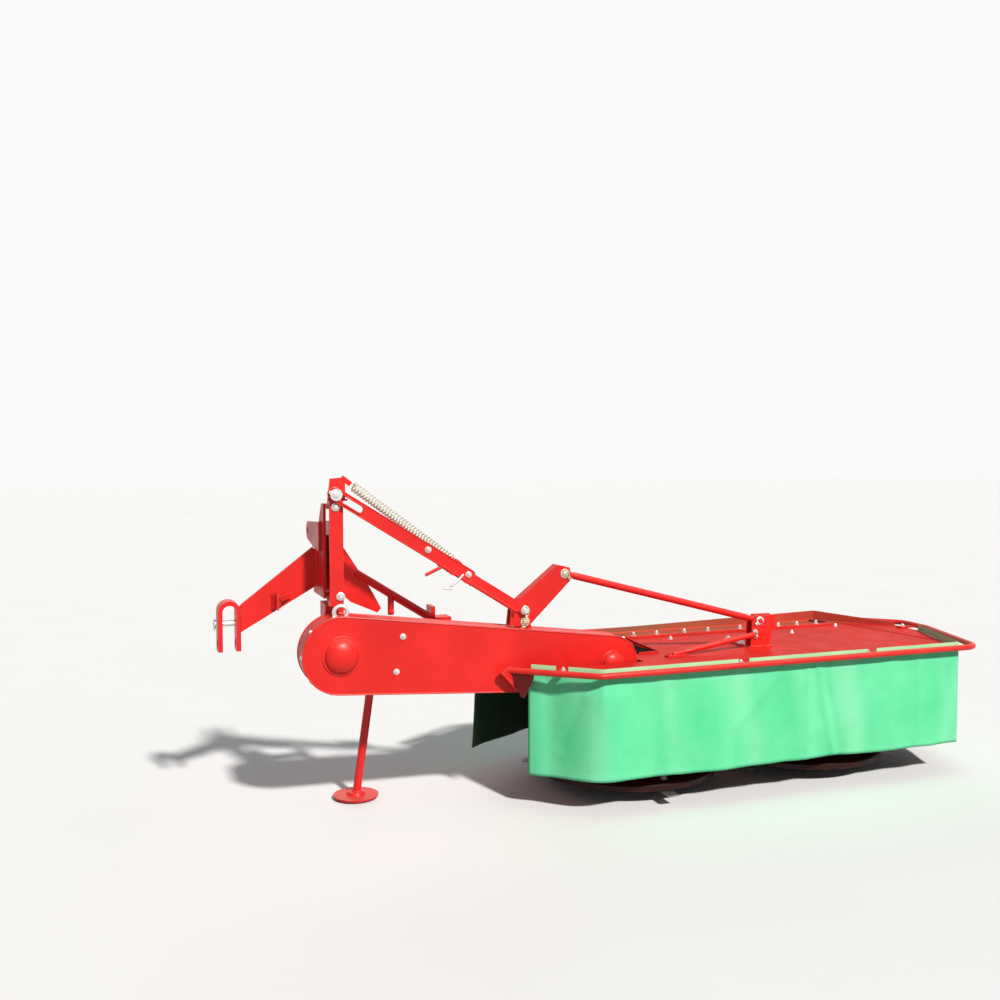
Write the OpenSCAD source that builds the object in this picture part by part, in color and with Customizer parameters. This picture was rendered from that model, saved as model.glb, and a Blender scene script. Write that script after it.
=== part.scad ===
// Rear-mounted drum mower, parked on its saucers and its parking leg.
// All sizes in mm. X runs along the cutter unit, +Y is the driving direction, Z = 0 is the ground.

/* [Drums] */
// Distance between the two drum axes
drum_pitch = 830; // [800:5:900]
// Radius of the cutting disc at its rim
disc_r = 380; // [360:1:386]
// Lower edge of the disc rim over the ground
disc_low_z = 50; // [48:1:58]
// Radius of the drum barrel
drum_r = 165; // [140:1:180]
// Top of the drum barrel over the ground
drum_top_z = 405; // [390:1:408]
// Sheet thickness of the drum
drum_wall = 8; // [5:1:12]
// Radius of the circle of the blade tips
blade_tip_r = 430; // [420:1:434]
// Number of blades on each drum
blade_count = 3; // [2:1:4]
// Width of a blade
blade_w = 48; // [40:1:56]
// Radius of the skid saucer
saucer_r = 300; // [280:1:310]
// Number of crop ribs on each barrel
rib_count = 3; // [2:1:6]

/* [Gear beam and cover] */
// Width of the gear beam
beam_w = 150; // [130:2:150]
// Underside of the gear beam over the ground
beam_low_z = 440; // [436:1:446]
// Height of the gear beam
beam_h = 82; // [70:1:82]
// Overhang of the beam left of the left drum axis
beam_left = 240; // [210:5:260]
// Overhang of the beam right of the right drum axis
beam_right = 170; // [150:5:200]
// Top face of the cover plate over the ground
cover_z = 526; // [520:1:532]
// Thickness of the cover plate
cover_t = 4; // [3:1:6]
// Distance of the rear cover edge from the drum axes
cover_rear = 430; // [420:1:440]
// Distance of the front cover edge from the drum axes
cover_front = 395; // [390:1:410]
// Lower edge of the skirt over the ground
skirt_low_z = 126; // [120:1:160]
// Thickness of the skirt
skirt_t = 4; // [3:0.5:6]
// Height of the front guard wall at its outer end
guard_h = 46; // [30:1:60]

/* [Guard rail] */
// Radius of the guard rail tube
rail_r = 12; // [9:0.5:14]
// Height of the rail axis over the ground
rail_z = 533; // [528:1:540]
// Bend radius of the rail corners
rail_bend = 70; // [40:5:90]
// Distance of the rear rail from the drum axes
rail_rear = 460; // [456:1:480]
// Distance of the front rail from the drum axes
rail_front = 425; // [424:1:440]
// Distance of the outer rail from the right drum axis
rail_outer = 720; // [700:5:760]

/* [Belt drive] */
// Distance between the input shaft and the driven shaft
belt_span = 1084; // [1040:2:1120]
// Height of the input shaft over the ground
input_z = 623; // [610:1:640]
// Height of the driven shaft over the ground
driven_z = 522; // [510:1:530]
// Distance of the driven shaft left of the left drum axis
driven_off = 152; // [140:1:170]
// Radius of the housing round the large pulley
big_r = 140; // [120:1:150]
// Radius of the housing round the small pulley
small_r = 106; // [90:1:110]
// Rear face of the housing behind the drum axes
housing_rear = 200; // [196:1:206]
// Depth of the housing
housing_d = 115; // [105:1:118]
// Sheet thickness of the housing
housing_t = 5; // [3:0.5:8]
// Radius of the input shaft
shaft_r = 17.45; // [15:0.05:22]
// Radius of the bearing tube
tube_r = 45; // [38:1:50]
// Radius of the driven bearing nose
nose_r = 50; // [40:1:56]

/* [Lift linkage] */
// Radius of the linkage pins
pin_r = 10; // [8:0.5:12]
// Radius of the slot pin on the swing post
slot_pin_r = 11; // [9:0.5:13]
// Travel of the slot pin in the link
slot_len = 104; // [98:2:130]
// Width of the link bar
link_w = 50; // [44:1:56]
// Thickness of the link bar
link_t = 12; // [10:1:14]
// Radius of the strut tube
strut_r = 12; // [10:0.5:14]
// Outer radius of the relief spring
spring_r = 17; // [14:0.5:20]
// Number of coils of the relief spring
spring_coils = 52; // [30:1:60]

/* [Hitch] */
// Spread of the two lower hitch clevises
hitch_spread = 825; // [718:1:870]
// Height of the lower hitch bores over the ground
hitch_z = 640; // [620:1:660]
// Radius of the lower hitch bores
hitch_bore_r = 14.4; // [11:0.1:15]
// Height of the top link bore over the lower bores
mast_height = 410; // [400:5:480]
// Radius of the top link bore
top_bore_r = 12.8; // [9.5:0.1:13]
// Gap between the ears of a clevis
clevis_gap = 50; // [48:1:60]
// Thickness of a clevis ear
ear_t = 17; // [14:1:20]
// Radius of the vertical swing pin
swing_pin_r = 16; // [14:0.5:20]

/* [Parking leg] */
// Radius of the leg tube
leg_r = 16; // [14:0.5:20]
// Lean of the leg from the upright, degrees
leg_lean = 8; // [0:0.5:10]
// Radius of the dish foot
foot_r = 88; // [70:1:95]

/* [Fits] */
// Radial clearance of turning and sliding fits
run_gap = 0.3; // [0.1:0.05:0.5]
// Radial clearance of pins in fixed eyes
pin_gap = 0.2; // [0.1:0.05:0.5]
// Side clearance between hinged plates
side_gap = 2; // [1:0.5:3]

/* [Hidden] */
$fn = 48;
function unit(v) = v / norm(v);
function dir2(a) = [cos(a), sin(a)];

// Axes of the belt drive, as [x, z]
driven = [-driven_off, driven_z];
input = [-driven_off - sqrt(pow(belt_span, 2) - pow(input_z - driven_z, 2)), input_z];
belt_a = atan2(driven[1] - input[1], driven[0] - input[0]);
belt_phi = acos((big_r - small_r) / belt_span);
housing_front = -housing_rear + housing_d;
// Top of the housing over a point along the machine
top_big = input + big_r * dir2(belt_a + belt_phi);
top_small = driven + small_r * dir2(belt_a + belt_phi);
function housing_top(x) =
    top_big[1] + (x - top_big[0]) * (top_small[1] - top_big[1]) / (top_small[0] - top_big[0]);

// Swing post and mast
swing = [input[0] - 4, -100];
mast_w = 56;
mast_t = 10;
mast_x0 = swing[0] - 5 - mast_w / 2;
mast_x1 = mast_x0 + mast_w;
mast_low = 815;
mast_top = 1165;
lug_t = 15;
fork_t = 18;
fork_gap = 1;
strap_w = 50;
strap_t = 12;
strap_y = -142;
fork_low = mast_low - fork_gap - fork_t;
fork_top = mast_top + fork_gap + fork_t;
top_bore = [195, hitch_z + mast_height];
top_lug_t = 12;

// Planes of the linkage across the machine
link_y = -154;
cheek_t = 8;
cheek_rear = link_y + link_t / 2 + side_gap;
cheek_gap = 30;
cheek_front = cheek_rear + cheek_t + cheek_gap;
strut_y = cheek_rear + cheek_t + cheek_gap / 2;
// Pins of the linkage, as [x, z]
lever_pin = [input[0] + 730, 698];
link_pin = lever_pin + [-4, 47];
strut_pin = lever_pin + [167, 181];
bracket_pin = lever_pin + [1061, -56];
slot_rise = 20.5;
slot_pin = [input[0] - 9, fork_top + slot_rise];
link_len = norm(link_pin - slot_pin);
link_a = atan2(link_pin[1] - slot_pin[1], link_pin[0] - slot_pin[0]);
strut_a = atan2(bracket_pin[1] - strut_pin[1], bracket_pin[0] - strut_pin[0]);
// Relief spring between the head plate and the link, its foot along and above the link's centre line
spring_p = slot_pin + [59, 36];
spring_foot = [523.4, 21.2];
function link_xz(u, v) = slot_pin + u * dir2(link_a) + v * dir2(link_a + 90);
spring_q = link_xz(spring_foot[0], spring_foot[1]);
spring_y = -128;
spring_h = norm(spring_q - spring_p);
spring_a = atan2(spring_q[1] - spring_p[1], spring_q[0] - spring_p[0]);
eye_r = 22;
drift_gap = 1.6;

// Lower hitch
hitch_y = 120;
hitch_x0 = swing[0] + 53 - hitch_spread / 2;
hitch_x1 = hitch_x0 + hitch_spread;
clevis_w = clevis_gap + 2 * ear_t;
clevis_d = 70;
clevis_low = hitch_z - 30;
clevis_top = hitch_z + 160;
arm_y = hitch_y - clevis_d / 2;
arm_t = 12;
cross_z = hitch_z + 73;
cross_r = 11;
cross_half = clevis_w / 2 + 14;

// Parking leg: foot on the ground, axis leaning in the XZ plane
leg_y = 100;
leg_foot = [input[0] + 114, 0];
function leg_at(z) = [leg_foot[0] + z * tan(leg_lean), z];
sleeve_r = leg_r + 6;
sleeve_low = 430;
sleeve_top = 700;
leg_top = 525;

// Outline of the cover and line of the rail, as [x, y]
right_x = drum_pitch;
cover_pts_rear = [[-545, -222], [-300, -cover_rear], [right_x + 518, -cover_rear]];
cover_pts_right = [[right_x + 518, -cover_rear], [right_x + 660, -20], [right_x + 660, 130],
    [right_x + 390, cover_front]];
cover_pts_front = [[right_x + 390, cover_front], [-290, cover_front], [-590, 190]];
rail_x1 = right_x + rail_outer;
rail_pts = [[-600, -238], [-323, -rail_rear], [right_x + 590, -rail_rear], [rail_x1, -13],
    [rail_x1, 150], [right_x + 405, rail_front], [-300, rail_front], [-610, 205]];

// The part stands on the middle of its bounding box
mid_x = (hitch_x0 - cross_half + rail_x1 + rail_r) / 2;
mid_y = (rail_front - rail_rear) / 2;

red = [0.72, 0.12, 0.08];
dark_red = [0.45, 0.1, 0.08];
maroon = [0.22, 0.07, 0.07];
green = [0.16, 0.36, 0.2];
zinc = [0.75, 0.74, 0.68];
steel = [0.5, 0.5, 0.5];

// Helpers
module along_y(y0, y1) { translate([0, y1, 0]) rotate([90, 0, 0]) linear_extrude(y1 - y0) children(); }
module along_x(x0, x1) { translate([x0, 0, 0]) rotate([90, 0, 90]) linear_extrude(x1 - x0) children(); }
module rod_y(c, r, y0, y1) { translate([c[0], y1, c[1]]) rotate([90, 0, 0]) cylinder(r = r, h = y1 - y0); }
module rod_x(c, r, x0, x1) { translate([x0, c[0], c[1]]) rotate([0, 90, 0]) cylinder(r = r, h = x1 - x0); }
module rod_z(c, r, z0, z1) { translate([c[0], c[1], z0]) cylinder(r = r, h = z1 - z0); }
module rod(p, q, r) {
    v = q - p;
    translate(p) rotate([0, acos(v[2] / norm(v)), atan2(v[1], v[0])]) cylinder(r = r, h = norm(v));
}
module block(p, q) { translate(p) cube(q - p); }
tangent_in = 0.9995;
module belt_outline(g) {
    r = (big_r + g) * tangent_in;
    q = (small_r + g) * tangent_in;
    translate(input) circle(r = big_r + g, $fn = 96);
    translate(driven) circle(r = small_r + g, $fn = 96);
    polygon([input + r * dir2(belt_a + belt_phi), driven + q * dir2(belt_a + belt_phi),
        driven + q * dir2(belt_a - belt_phi), input + r * dir2(belt_a - belt_phi)]);
}
// Strip of sheet along a line of points, thickness to the outer side
function side(p, q) = [unit(q - p)[1], -unit(q - p)[0]];
function mitre(a, b, c, t) = b + (side(a, b) + side(b, c)) * t / (1 + side(a, b) * side(b, c));
function outer_line(p, t) = [for (i = [0 : len(p) - 1])
    i == 0 ? p[0] + side(p[0], p[1]) * t
    : i == len(p) - 1 ? p[i] + side(p[i - 1], p[i]) * t
    : mitre(p[i - 1], p[i], p[i + 1], t)];
function flip(p) = [for (i = [len(p) - 1 : -1 : 0]) p[i]];
module strip(p, t, z0, z1) {
    translate([0, 0, z0]) linear_extrude(z1 - z0) polygon(concat(p, flip(outer_line(p, t))));
}
// Bar along a line of points in one plane, each corner bent round
function turn(p, i) = let (u = unit(p[i] - p[i - 1]), v = unit(p[i + 1] - p[i]))
    atan2(u[0] * v[1] - u[1] * v[0], u * v);
bend_steps = 5;
function bent(p, b) = concat([p[0]], [for (i = [1 : 1 : len(p) - 2])
    let (k = turn(p, i), u = unit(p[i] - p[i - 1]), c = p[i] - u * b * tan(abs(k) / 2)
        + [-u[1], u[0]] * sign(k) * b, a0 = atan2(u[1], u[0]) - 90 * sign(k))
    for (j = [0 : bend_steps]) c + b * dir2(a0 + k * j / bend_steps)], [p[len(p) - 1]]);
module bar_path(p, b, r, z) {
    q = bent(p, b);
    translate([0, 0, z - r]) linear_extrude(2 * r) polygon(concat(outer_line(q, -r), flip(outer_line(q, r))));
}
module place() { translate([-mid_x, -mid_y, 0]) children(); }
// Frame of the link: x along the bar from the slot pin, y across it
module on_link() { translate(slot_pin) rotate(link_a) children(); }

// Hitch: mast, arms, clevises and the vertical swing pin
module mast() color(red) place() {
    side_pts = [[-62, mast_low], [145, mast_low], [145, 880], [70, 1040], [-20, mast_top], [-62, mast_top]];
    along_x(mast_x0, mast_x0 + mast_t) polygon(side_pts);
    along_x(mast_x1 - mast_t, mast_x1) polygon(side_pts);
    along_x(mast_x0 + mast_t, mast_x1 - mast_t)
        polygon([[137, mast_low], [145, mast_low], [145, 880], [70, 1040], [62, 1040], [137, 880]]);
    for (z = [mast_low, mast_top - lug_t]) difference() {
        union() {
            block([mast_x0 + mast_t, swing[1], z], [mast_x1 - mast_t, 20, z + lug_t]);
            rod_z(swing, 30, z, z + lug_t);
        }
        rod_z(swing, swing_pin_r + pin_gap, z - 1, z + lug_t + 1);
    }
}
module top_link_lugs() color(red) place() {
    for (x = [mast_x0 - top_lug_t, mast_x1]) difference() {
        along_x(x, x + top_lug_t) union() {
            polygon([[-30, top_bore[1] + 48], [-30, lug_low], [40, lug_low],
                [top_bore[0], top_bore[1] - 35], [top_bore[0], top_bore[1] + 35]]);
            translate(top_bore) circle(r = 35);
        }
        rod_x(top_bore, top_bore_r, x - 1, x + top_lug_t + 1);
    }
}
// Room of the top link lugs, left free by the arms
lug_low = top_bore[1] - 62;
module lug_room(x) { block([x, -200, lug_low - pin_gap], [x + top_lug_t, 400, 1200]); }
module left_arm() color(red) place() {
    x1 = mast_x0;
    x0 = hitch_x0 + clevis_w / 2;
    difference() {
        along_y(arm_y, arm_y + arm_t)
            polygon([[x1, 1005], [x1, 845], [x0, hitch_z + 42], [x0, hitch_z + 146]]);
        lug_room(mast_x0 - top_lug_t - pin_gap);
        lug_room(mast_x0 - top_lug_t + 1);
    }
    along_y(arm_y + arm_t, arm_y + arm_t + 40)
        polygon([[x1, 853], [x1, 845], [x0, hitch_z + 42], [x0, hitch_z + 50]]);
    along_y(arm_y - 40, arm_y)
        polygon([[x0 + 128, hitch_z + 125], [x0 + 136, hitch_z + 120], [x0 + 136, hitch_z + 190],
            [x0 + 128, hitch_z + 185]]);
}
module right_arm() color(red) place() {
    difference() {
        along_y(arm_y, arm_y + arm_t)
            polygon([[mast_x1, 1000], [mast_x1 + 52, 985], [mast_x1 + 127, 869], [mast_x1 + 157, 820],
                [mast_x1 + 197, 745], [mast_x1 + 182, 728], [mast_x1 + 77, 775], [mast_x1, 845]]);
        lug_room(mast_x1 + pin_gap);
        lug_room(mast_x1 - 1);
    }
    intersection() {
        rod([mast_x1 + 97, arm_y + 6, 887.5], [hitch_x1 + 20, arm_y + 6, 655], 16);
        block([mast_x1, -200, 400], [hitch_x1 - clevis_w / 2, 400, 1200]);
    }
}
module clevis_holes(x) {
    rod_x([hitch_y, hitch_z], hitch_bore_r, x - clevis_w, x + clevis_w);
}
module left_clevis() color(red) place() difference() {
    r = clevis_w / 2;
    along_y(hitch_y - clevis_d / 2, hitch_y + clevis_d / 2) difference() {
        union() {
            translate([hitch_x0 - r, clevis_low]) square([clevis_w, clevis_top - r - clevis_low]);
            translate([hitch_x0, clevis_top - r]) circle(r = r);
        }
        translate([hitch_x0 - clevis_gap / 2, clevis_low - 1])
            square([clevis_gap, clevis_top - r - clevis_low + 1]);
        translate([hitch_x0, clevis_top - r]) circle(r = clevis_gap / 2);
    }
    clevis_holes(hitch_x0);
    rod_x([hitch_y, cross_z], cross_r + pin_gap, hitch_x0 - clevis_w, hitch_x0 + clevis_w);
}
module right_clevis() color(red) place() difference() {
    x = hitch_x1;
    union() {
        block([x - clevis_w / 2, hitch_y - clevis_d / 2, clevis_low],
            [x - clevis_gap / 2, hitch_y + clevis_d / 2, hitch_z + 100]);
        block([x + clevis_gap / 2, hitch_y - clevis_d / 2, clevis_low],
            [x + clevis_w / 2, hitch_y + clevis_d / 2, hitch_z + 55]);
        block([x - clevis_gap / 2, hitch_y - clevis_d / 2, hitch_z + 40],
            [x + clevis_gap / 2, hitch_y + clevis_d / 2, hitch_z + 55]);
    }
    clevis_holes(x);
}
module cross_pin() color(zinc) place() {
    rod_x([hitch_y, cross_z], cross_r, hitch_x0 - cross_half, hitch_x0 + cross_half);
}
module swing_pin() color(zinc) place() {
    rod_z(swing, swing_pin_r, fork_low, fork_top);
    rod_z(swing, swing_pin_r + 8, fork_top, fork_top + 10);
}

// Swing frame: post, head plate, bearing carrier and the sleeve of the parking leg
module swing_post() color(red) place() {
    block([swing[0] - strap_w / 2, strap_y, fork_low],
        [swing[0] + strap_w / 2, strap_y + strap_t, fork_top]);
    for (z = [fork_low, fork_top - fork_t]) difference() {
        union() {
            block([swing[0] - strap_w / 2, strap_y + strap_t, z],
                [swing[0] + strap_w / 2, swing[1], z + fork_t]);
            rod_z(swing, strap_w / 2, z, z + fork_t);
        }
        rod_z(swing, swing_pin_r + run_gap, z - 1, z + fork_t + 1);
    }
}
module head_plate() color(red) place() difference() {
    along_y(strap_y, strap_y + strap_t) union() {
        translate(spring_p) rotate(spring_a) translate([-42, -9]) square([42 - run_gap, 18]);
        polygon([[swing[0] - 31, fork_top], [swing[0] + 33, fork_top],
            [swing[0] + 33, fork_top + 62], [swing[0] + 27, fork_top + 82], [swing[0] - 22, fork_top + 78]]);
    }
    rod_y(slot_pin, slot_pin_r + pin_gap, strap_y - 1, strap_y + strap_t + 1);
}
module slot_pin_stud() color(zinc) place() {
    rod_y(slot_pin, slot_pin_r, link_y - link_t / 2 - 14, strap_y + strap_t);
    rod_y(slot_pin, slot_pin_r + 11, link_y - link_t / 2 - 10, link_y - link_t / 2 - 4);
}
module bearing_carrier() color(red) place() difference() {
    union() {
        rod_y(input, tube_r, housing_front - 40, 160);
        block([input[0] - 35, housing_front + 10, input_z], [input[0] + 35, 20, fork_low]);
    }
    rod_y(input, shaft_r + run_gap, -400, 400);
}
module stand_arm() color(red) place() difference() {
    block([input[0] + 20, leg_y - 8, input_z - 28], [leg_at(input_z)[0], leg_y + 8, input_z + 28]);
    rod_y(input, tube_r, -400, 400);
    rod([leg_foot[0], leg_y, 0], [leg_at(900)[0], leg_y, 900], sleeve_r);
}
module stand_sleeve() color(red) place() difference() {
    rod([leg_at(sleeve_low)[0], leg_y, sleeve_low], [leg_at(sleeve_top)[0], leg_y, sleeve_top], sleeve_r);
    rod([leg_foot[0], leg_y, 0], [leg_at(900)[0], leg_y, 900], leg_r + run_gap);
}
// Parking leg
foot_h = 26;
module stand_leg() color(red) place() intersection() {
    rod([leg_at(-40)[0], leg_y, -40], [leg_at(leg_top)[0], leg_y, leg_top], leg_r);
    block([-3000, -600, foot_h], [3000, 600, 900]);
}
module stand_foot() color(red) place() translate([leg_foot[0], leg_y, 0]) rotate_extrude($fn = 64)
    polygon([[0, 0], [foot_r - 14, 0], [foot_r, 9], [foot_r, 14], [foot_r - 18, 6], [40, 8], [32, foot_h],
        [0, foot_h]]);

// Drive: input shaft, belt housing and its rear cover
module input_shaft() color(steel) place() difference() {
    rod_y(input, shaft_r, housing_front + 5, 250);
    for (i = [0 : 5]) translate([input[0], 0, input_z]) rotate([0, i * 60, 0])
        block([-3, 175, shaft_r - 3], [3, 300, shaft_r + 5]);
}
module belt_housing() color(red) place() difference() {
    union() {
        difference() {
            along_y(-housing_rear + housing_t, housing_front) belt_outline(0);
            along_y(-housing_rear, housing_front - housing_t) belt_outline(-housing_t);
        }
        along_y(strut_y - cheek_gap / 2 + side_gap, strut_y + cheek_gap / 2 - side_gap) union() {
            translate(lever_pin) circle(r = eye_r);
            polygon([[lever_pin[0] - 34, housing_top(lever_pin[0] - 34) - 2],
                [lever_pin[0] + 34, housing_top(lever_pin[0] + 34) - 2],
                [lever_pin[0] + 20, lever_pin[1] + 9], [lever_pin[0] - 20, lever_pin[1] + 9]]);
        }
    }
    rod_y(lever_pin, pin_r + pin_gap, -400, 0);
    rod_y(input, tube_r + run_gap, housing_front - 20, 100);
    rod_y(driven, nose_r + run_gap, housing_front - 20, 100);
}
dome_r = 71;
module dome(c, r) {
    k = r / dome_r;
    translate([c[0], -housing_rear, c[1]]) rotate([90, 0, 0]) rotate_extrude($fn = 64)
        polygon([[0, 0], [r, 0], [r, 4 * k], [r * 0.89, 5 * k], [r * 0.87, 10 * k], [r * 0.8, 17 * k],
            [r * 0.66, 25 * k], [r * 0.46, 31 * k], [r * 0.22, 34.5 * k], [0, 35.5 * k]]);
}
module belt_cover() color(red) place() {
    along_y(-housing_rear, -housing_rear + housing_t) belt_outline(2);
    dome(input, dome_r);
    dome(driven, dome_r * 0.7);
}
module eye_ring() color(zinc) place() difference() {
    translate([input[0] + 5, -housing_rear + 40, input_z + big_r + 12]) rotate([90, 0, 0])
        rotate_extrude($fn = 48) translate([24, 0]) circle(r = 8);
    along_y(-400, 0) belt_outline(0);
}

// Cutter unit: gear beam, cover, guard, rails, skirts and brackets
drum_x = [0, drum_pitch];
stub_r = 30;
flange_z = drum_top_z + 5;
// Angle gear case that stands up through the notch of the cover
hump_half = 62;
hump_in = 8;
hump_z = driven_z + 56;
module gear_beam() color(red) place() difference() {
    union() {
        block([-beam_left, -beam_w / 2, beam_low_z], [right_x + beam_right, beam_w / 2, beam_low_z + beam_h]);
        for (x = drum_x) rod_z([x, 0], 110, flange_z, beam_low_z);
        block([driven[0] - hump_half, -beam_w / 2, beam_low_z], [driven[0] + hump_half, -hump_in, hump_z]);
        rod_y(driven, nose_r, housing_front - 40, -beam_w / 2);
    }
    for (x = drum_x) rod_z([x, 0], stub_r + run_gap, flange_z - 1, flange_z + 25);
}
notch_x = driven[0] + small_r + 16;
module cover_plate() color(red) place() difference() {
    translate([0, 0, cover_z - cover_t]) linear_extrude(cover_t) difference() {
        polygon(concat(cover_pts_rear, cover_pts_right, cover_pts_front));
        translate([-900, -housing_rear - 34]) square([900 + notch_x, housing_rear + 34]);
    }
}
module front_guard() color(red) place() {
    p = cover_pts_right[3];
    q = cover_pts_right[2];
    along_y(cover_front - 5, cover_front)
        polygon([[-285, cover_z], [p[0] - 4, cover_z], [p[0] - 4, cover_z + guard_h], [-285, cover_z + 14]]);
    translate([p[0], p[1], 0]) rotate([0, 0, atan2(q[1] - p[1], q[0] - p[0])])
        along_y(-5, 0) polygon([[0, cover_z], [norm(q - p) - 4, cover_z], [norm(q - p) - 4, cover_z + 12],
            [0, cover_z + guard_h]]);
}
module rail_rear_tube() color(red) place()
    bar_path([rail_pts[0], rail_pts[1], rail_pts[2] - [rail_bend, 0]], rail_bend, rail_r, rail_z);
module rail_outer_tube() color(red) place()
    bar_path([rail_pts[2] - [rail_bend, 0], rail_pts[2], rail_pts[3], [rail_x1, 90]],
        rail_bend, rail_r, rail_z);
module rail_front_tube() color(red) place()
    bar_path([[rail_x1, 90], rail_pts[4], rail_pts[5], rail_pts[6], rail_pts[7]], rail_bend, rail_r, rail_z);
// Stays from the cover to the rail: [point on the cover edge, outward angle, reach to the rail axis, seat]
stay_h = 7;
function chamfer_stay(p, q, r0, r1) = let (n = side(p, q), m = (p + q) / 2)
    [m, atan2(n[1], n[0]), (r0 - m) * side(r0, r1) / (n * side(r0, r1)), 30];
stay_rows = [[[300, -cover_rear], -90, rail_rear - cover_rear, 40],
    [[900, -cover_rear], -90, rail_rear - cover_rear, 40],
    [[0, cover_front], 90, rail_front - cover_front, -pin_gap],
    [[700, cover_front], 90, rail_front - cover_front, -pin_gap],
    [[right_x + 660, 60], 0, rail_outer - 660, 40],
    chamfer_stay(cover_pts_rear[0], cover_pts_rear[1], rail_pts[0], rail_pts[1]),
    chamfer_stay(cover_pts_front[1], cover_pts_front[2], rail_pts[6], rail_pts[7])];
module rail_stays() color(red) place() {
    for (s = stay_rows) translate([s[0][0], s[0][1], cover_z]) rotate([0, 0, s[1]])
        block([-s[3], -14, 0], [s[2] - rail_r - pin_gap - (s[3] == 30 ? 1.5 : 0), 14, stay_h]);
}
module rail_bracket() color(dark_red) place() {
    p = rail_pts[0];
    a = atan2(rail_pts[1][1] - p[1], rail_pts[1][0] - p[0]);
    translate([p[0], p[1], rail_z - rail_r]) rotate([0, 0, a]) along_y(-3, 3)
        polygon([[6, 0], [96, 0], [96, -14], [60, -88], [48, -88]]);
}
// The rear skirt starts a little inside the cover's corner
skirt_start = 28;
skirt_pts_rear = [cover_pts_rear[0] + skirt_start * unit(cover_pts_rear[1] - cover_pts_rear[0]),
    cover_pts_rear[1], cover_pts_rear[2]];
module skirt_rear() color(green) place() strip(skirt_pts_rear, skirt_t, skirt_low_z, cover_z);
module skirt_outer() color(green) place() strip(cover_pts_right, skirt_t, skirt_low_z, cover_z);
module skirt_front() color(green) place() strip(cover_pts_front, skirt_t, skirt_low_z, cover_z);
bracket_z = cover_z;
module strut_bracket() color(red) place() difference() {
    x = bracket_pin[0];
    union() {
        block([x - 50, cheek_rear, bracket_z], [x + 62, beam_w / 2 - 10, bracket_z + 8]);
        for (y = [cheek_rear, cheek_front]) along_y(y, y + cheek_t)
            polygon([[x - 42, bracket_z + 6], [x + 48, bracket_z + 6], [x + 58, bracket_pin[1] - 52],
                [x + 85, bracket_pin[1] - 29], [x + 73, bracket_pin[1] + 23], [x - 14, bracket_pin[1] + 24],
                [x - 36, bracket_pin[1] - 4]]);
        rod_y(bracket_pin, pin_r, cheek_rear - 8, cheek_front + cheek_t + 8);
    }
}
brace_r = 8;
module cover_brace() color(red) place() {
    a = [bracket_pin[0] - 30, cheek_rear - brace_r - pin_gap, bracket_pin[1] - 54];
    b = [128, -180, cover_z + brace_r];
    rod(a, b, brace_r);
}
module rotor(x) {
    z0 = disc_low_z;
    translate([x, 0, 0]) rotate_extrude($fn = 96)
        polygon([[0, flange_z + 24], [stub_r, flange_z + 24], [stub_r, drum_top_z], [drum_r, drum_top_z],
            [drum_r, z0 + 135], [drum_r + 35, z0 + 100], [disc_r - 35, z0 + 36], [disc_r - 6, z0 + 26],
            [disc_r, z0 + 20], [disc_r, z0], [disc_r - 8, z0], [disc_r - 8, z0 + 14], [disc_r - 52, z0 + 14],
            [disc_r - 52, z0 + 34], [drum_r + 31, z0 + 92], [drum_r - drum_wall, z0 + 130],
            [drum_r - drum_wall, drum_top_z - drum_wall], [stub_r, drum_top_z - drum_wall],
            [stub_r, z0 - 6], [0, z0 - 6]]);
    for (i = [0 : rib_count - 1]) translate([x, 0, 0]) rotate([0, 0, 30 + i * 360 / rib_count])
        block([drum_r - 3, -5, z0 + 140], [drum_r + 16, 5, drum_top_z - 20]);
}
blade_pin_r = disc_r - 35;
module blades(x, turn) {
    z0 = disc_low_z;
    for (i = [0 : blade_count - 1]) translate([x, 0, 0]) rotate([0, 0, i * 360 / blade_count + turn]) {
        translate([0, 0, z0 - 9]) linear_extrude(4) polygon([[blade_pin_r - 26, -blade_w / 2],
            [blade_tip_r - 8, -blade_w / 2], [blade_tip_r - 3, -blade_w / 4], [blade_tip_r - 3, blade_w / 2],
            [blade_pin_r - 26, blade_w / 2]]);
        translate([blade_pin_r, 0, z0 - 15]) cylinder(r = 14, h = 6.5);
        translate([blade_pin_r, 0, z0 - 5.5]) cylinder(r = 11, h = 19.5);
    }
}
module saucer(x) {
    z0 = disc_low_z;
    translate([x, 0, 0]) rotate_extrude($fn = 96)
        polygon([[0, 0], [170, 0], [240, 9], [saucer_r, 30], [saucer_r, 35], [238, 15], [170, 6], [64, 6],
            [56, z0 + 6], [stub_r + run_gap, z0 + 6], [stub_r + run_gap, z0 - 7], [0, z0 - 7]]);
}
module drum_left() color(maroon) place() rotor(drum_x[0]);
module drum_right() color(maroon) place() rotor(drum_x[1]);
module blades_left() color(steel) place() blades(drum_x[0], 30);
module blades_right() color(steel) place() blades(drum_x[1], 90);
module saucer_left() color(maroon) place() saucer(drum_x[0]);
module saucer_right() color(maroon) place() saucer(drum_x[1]);

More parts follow.
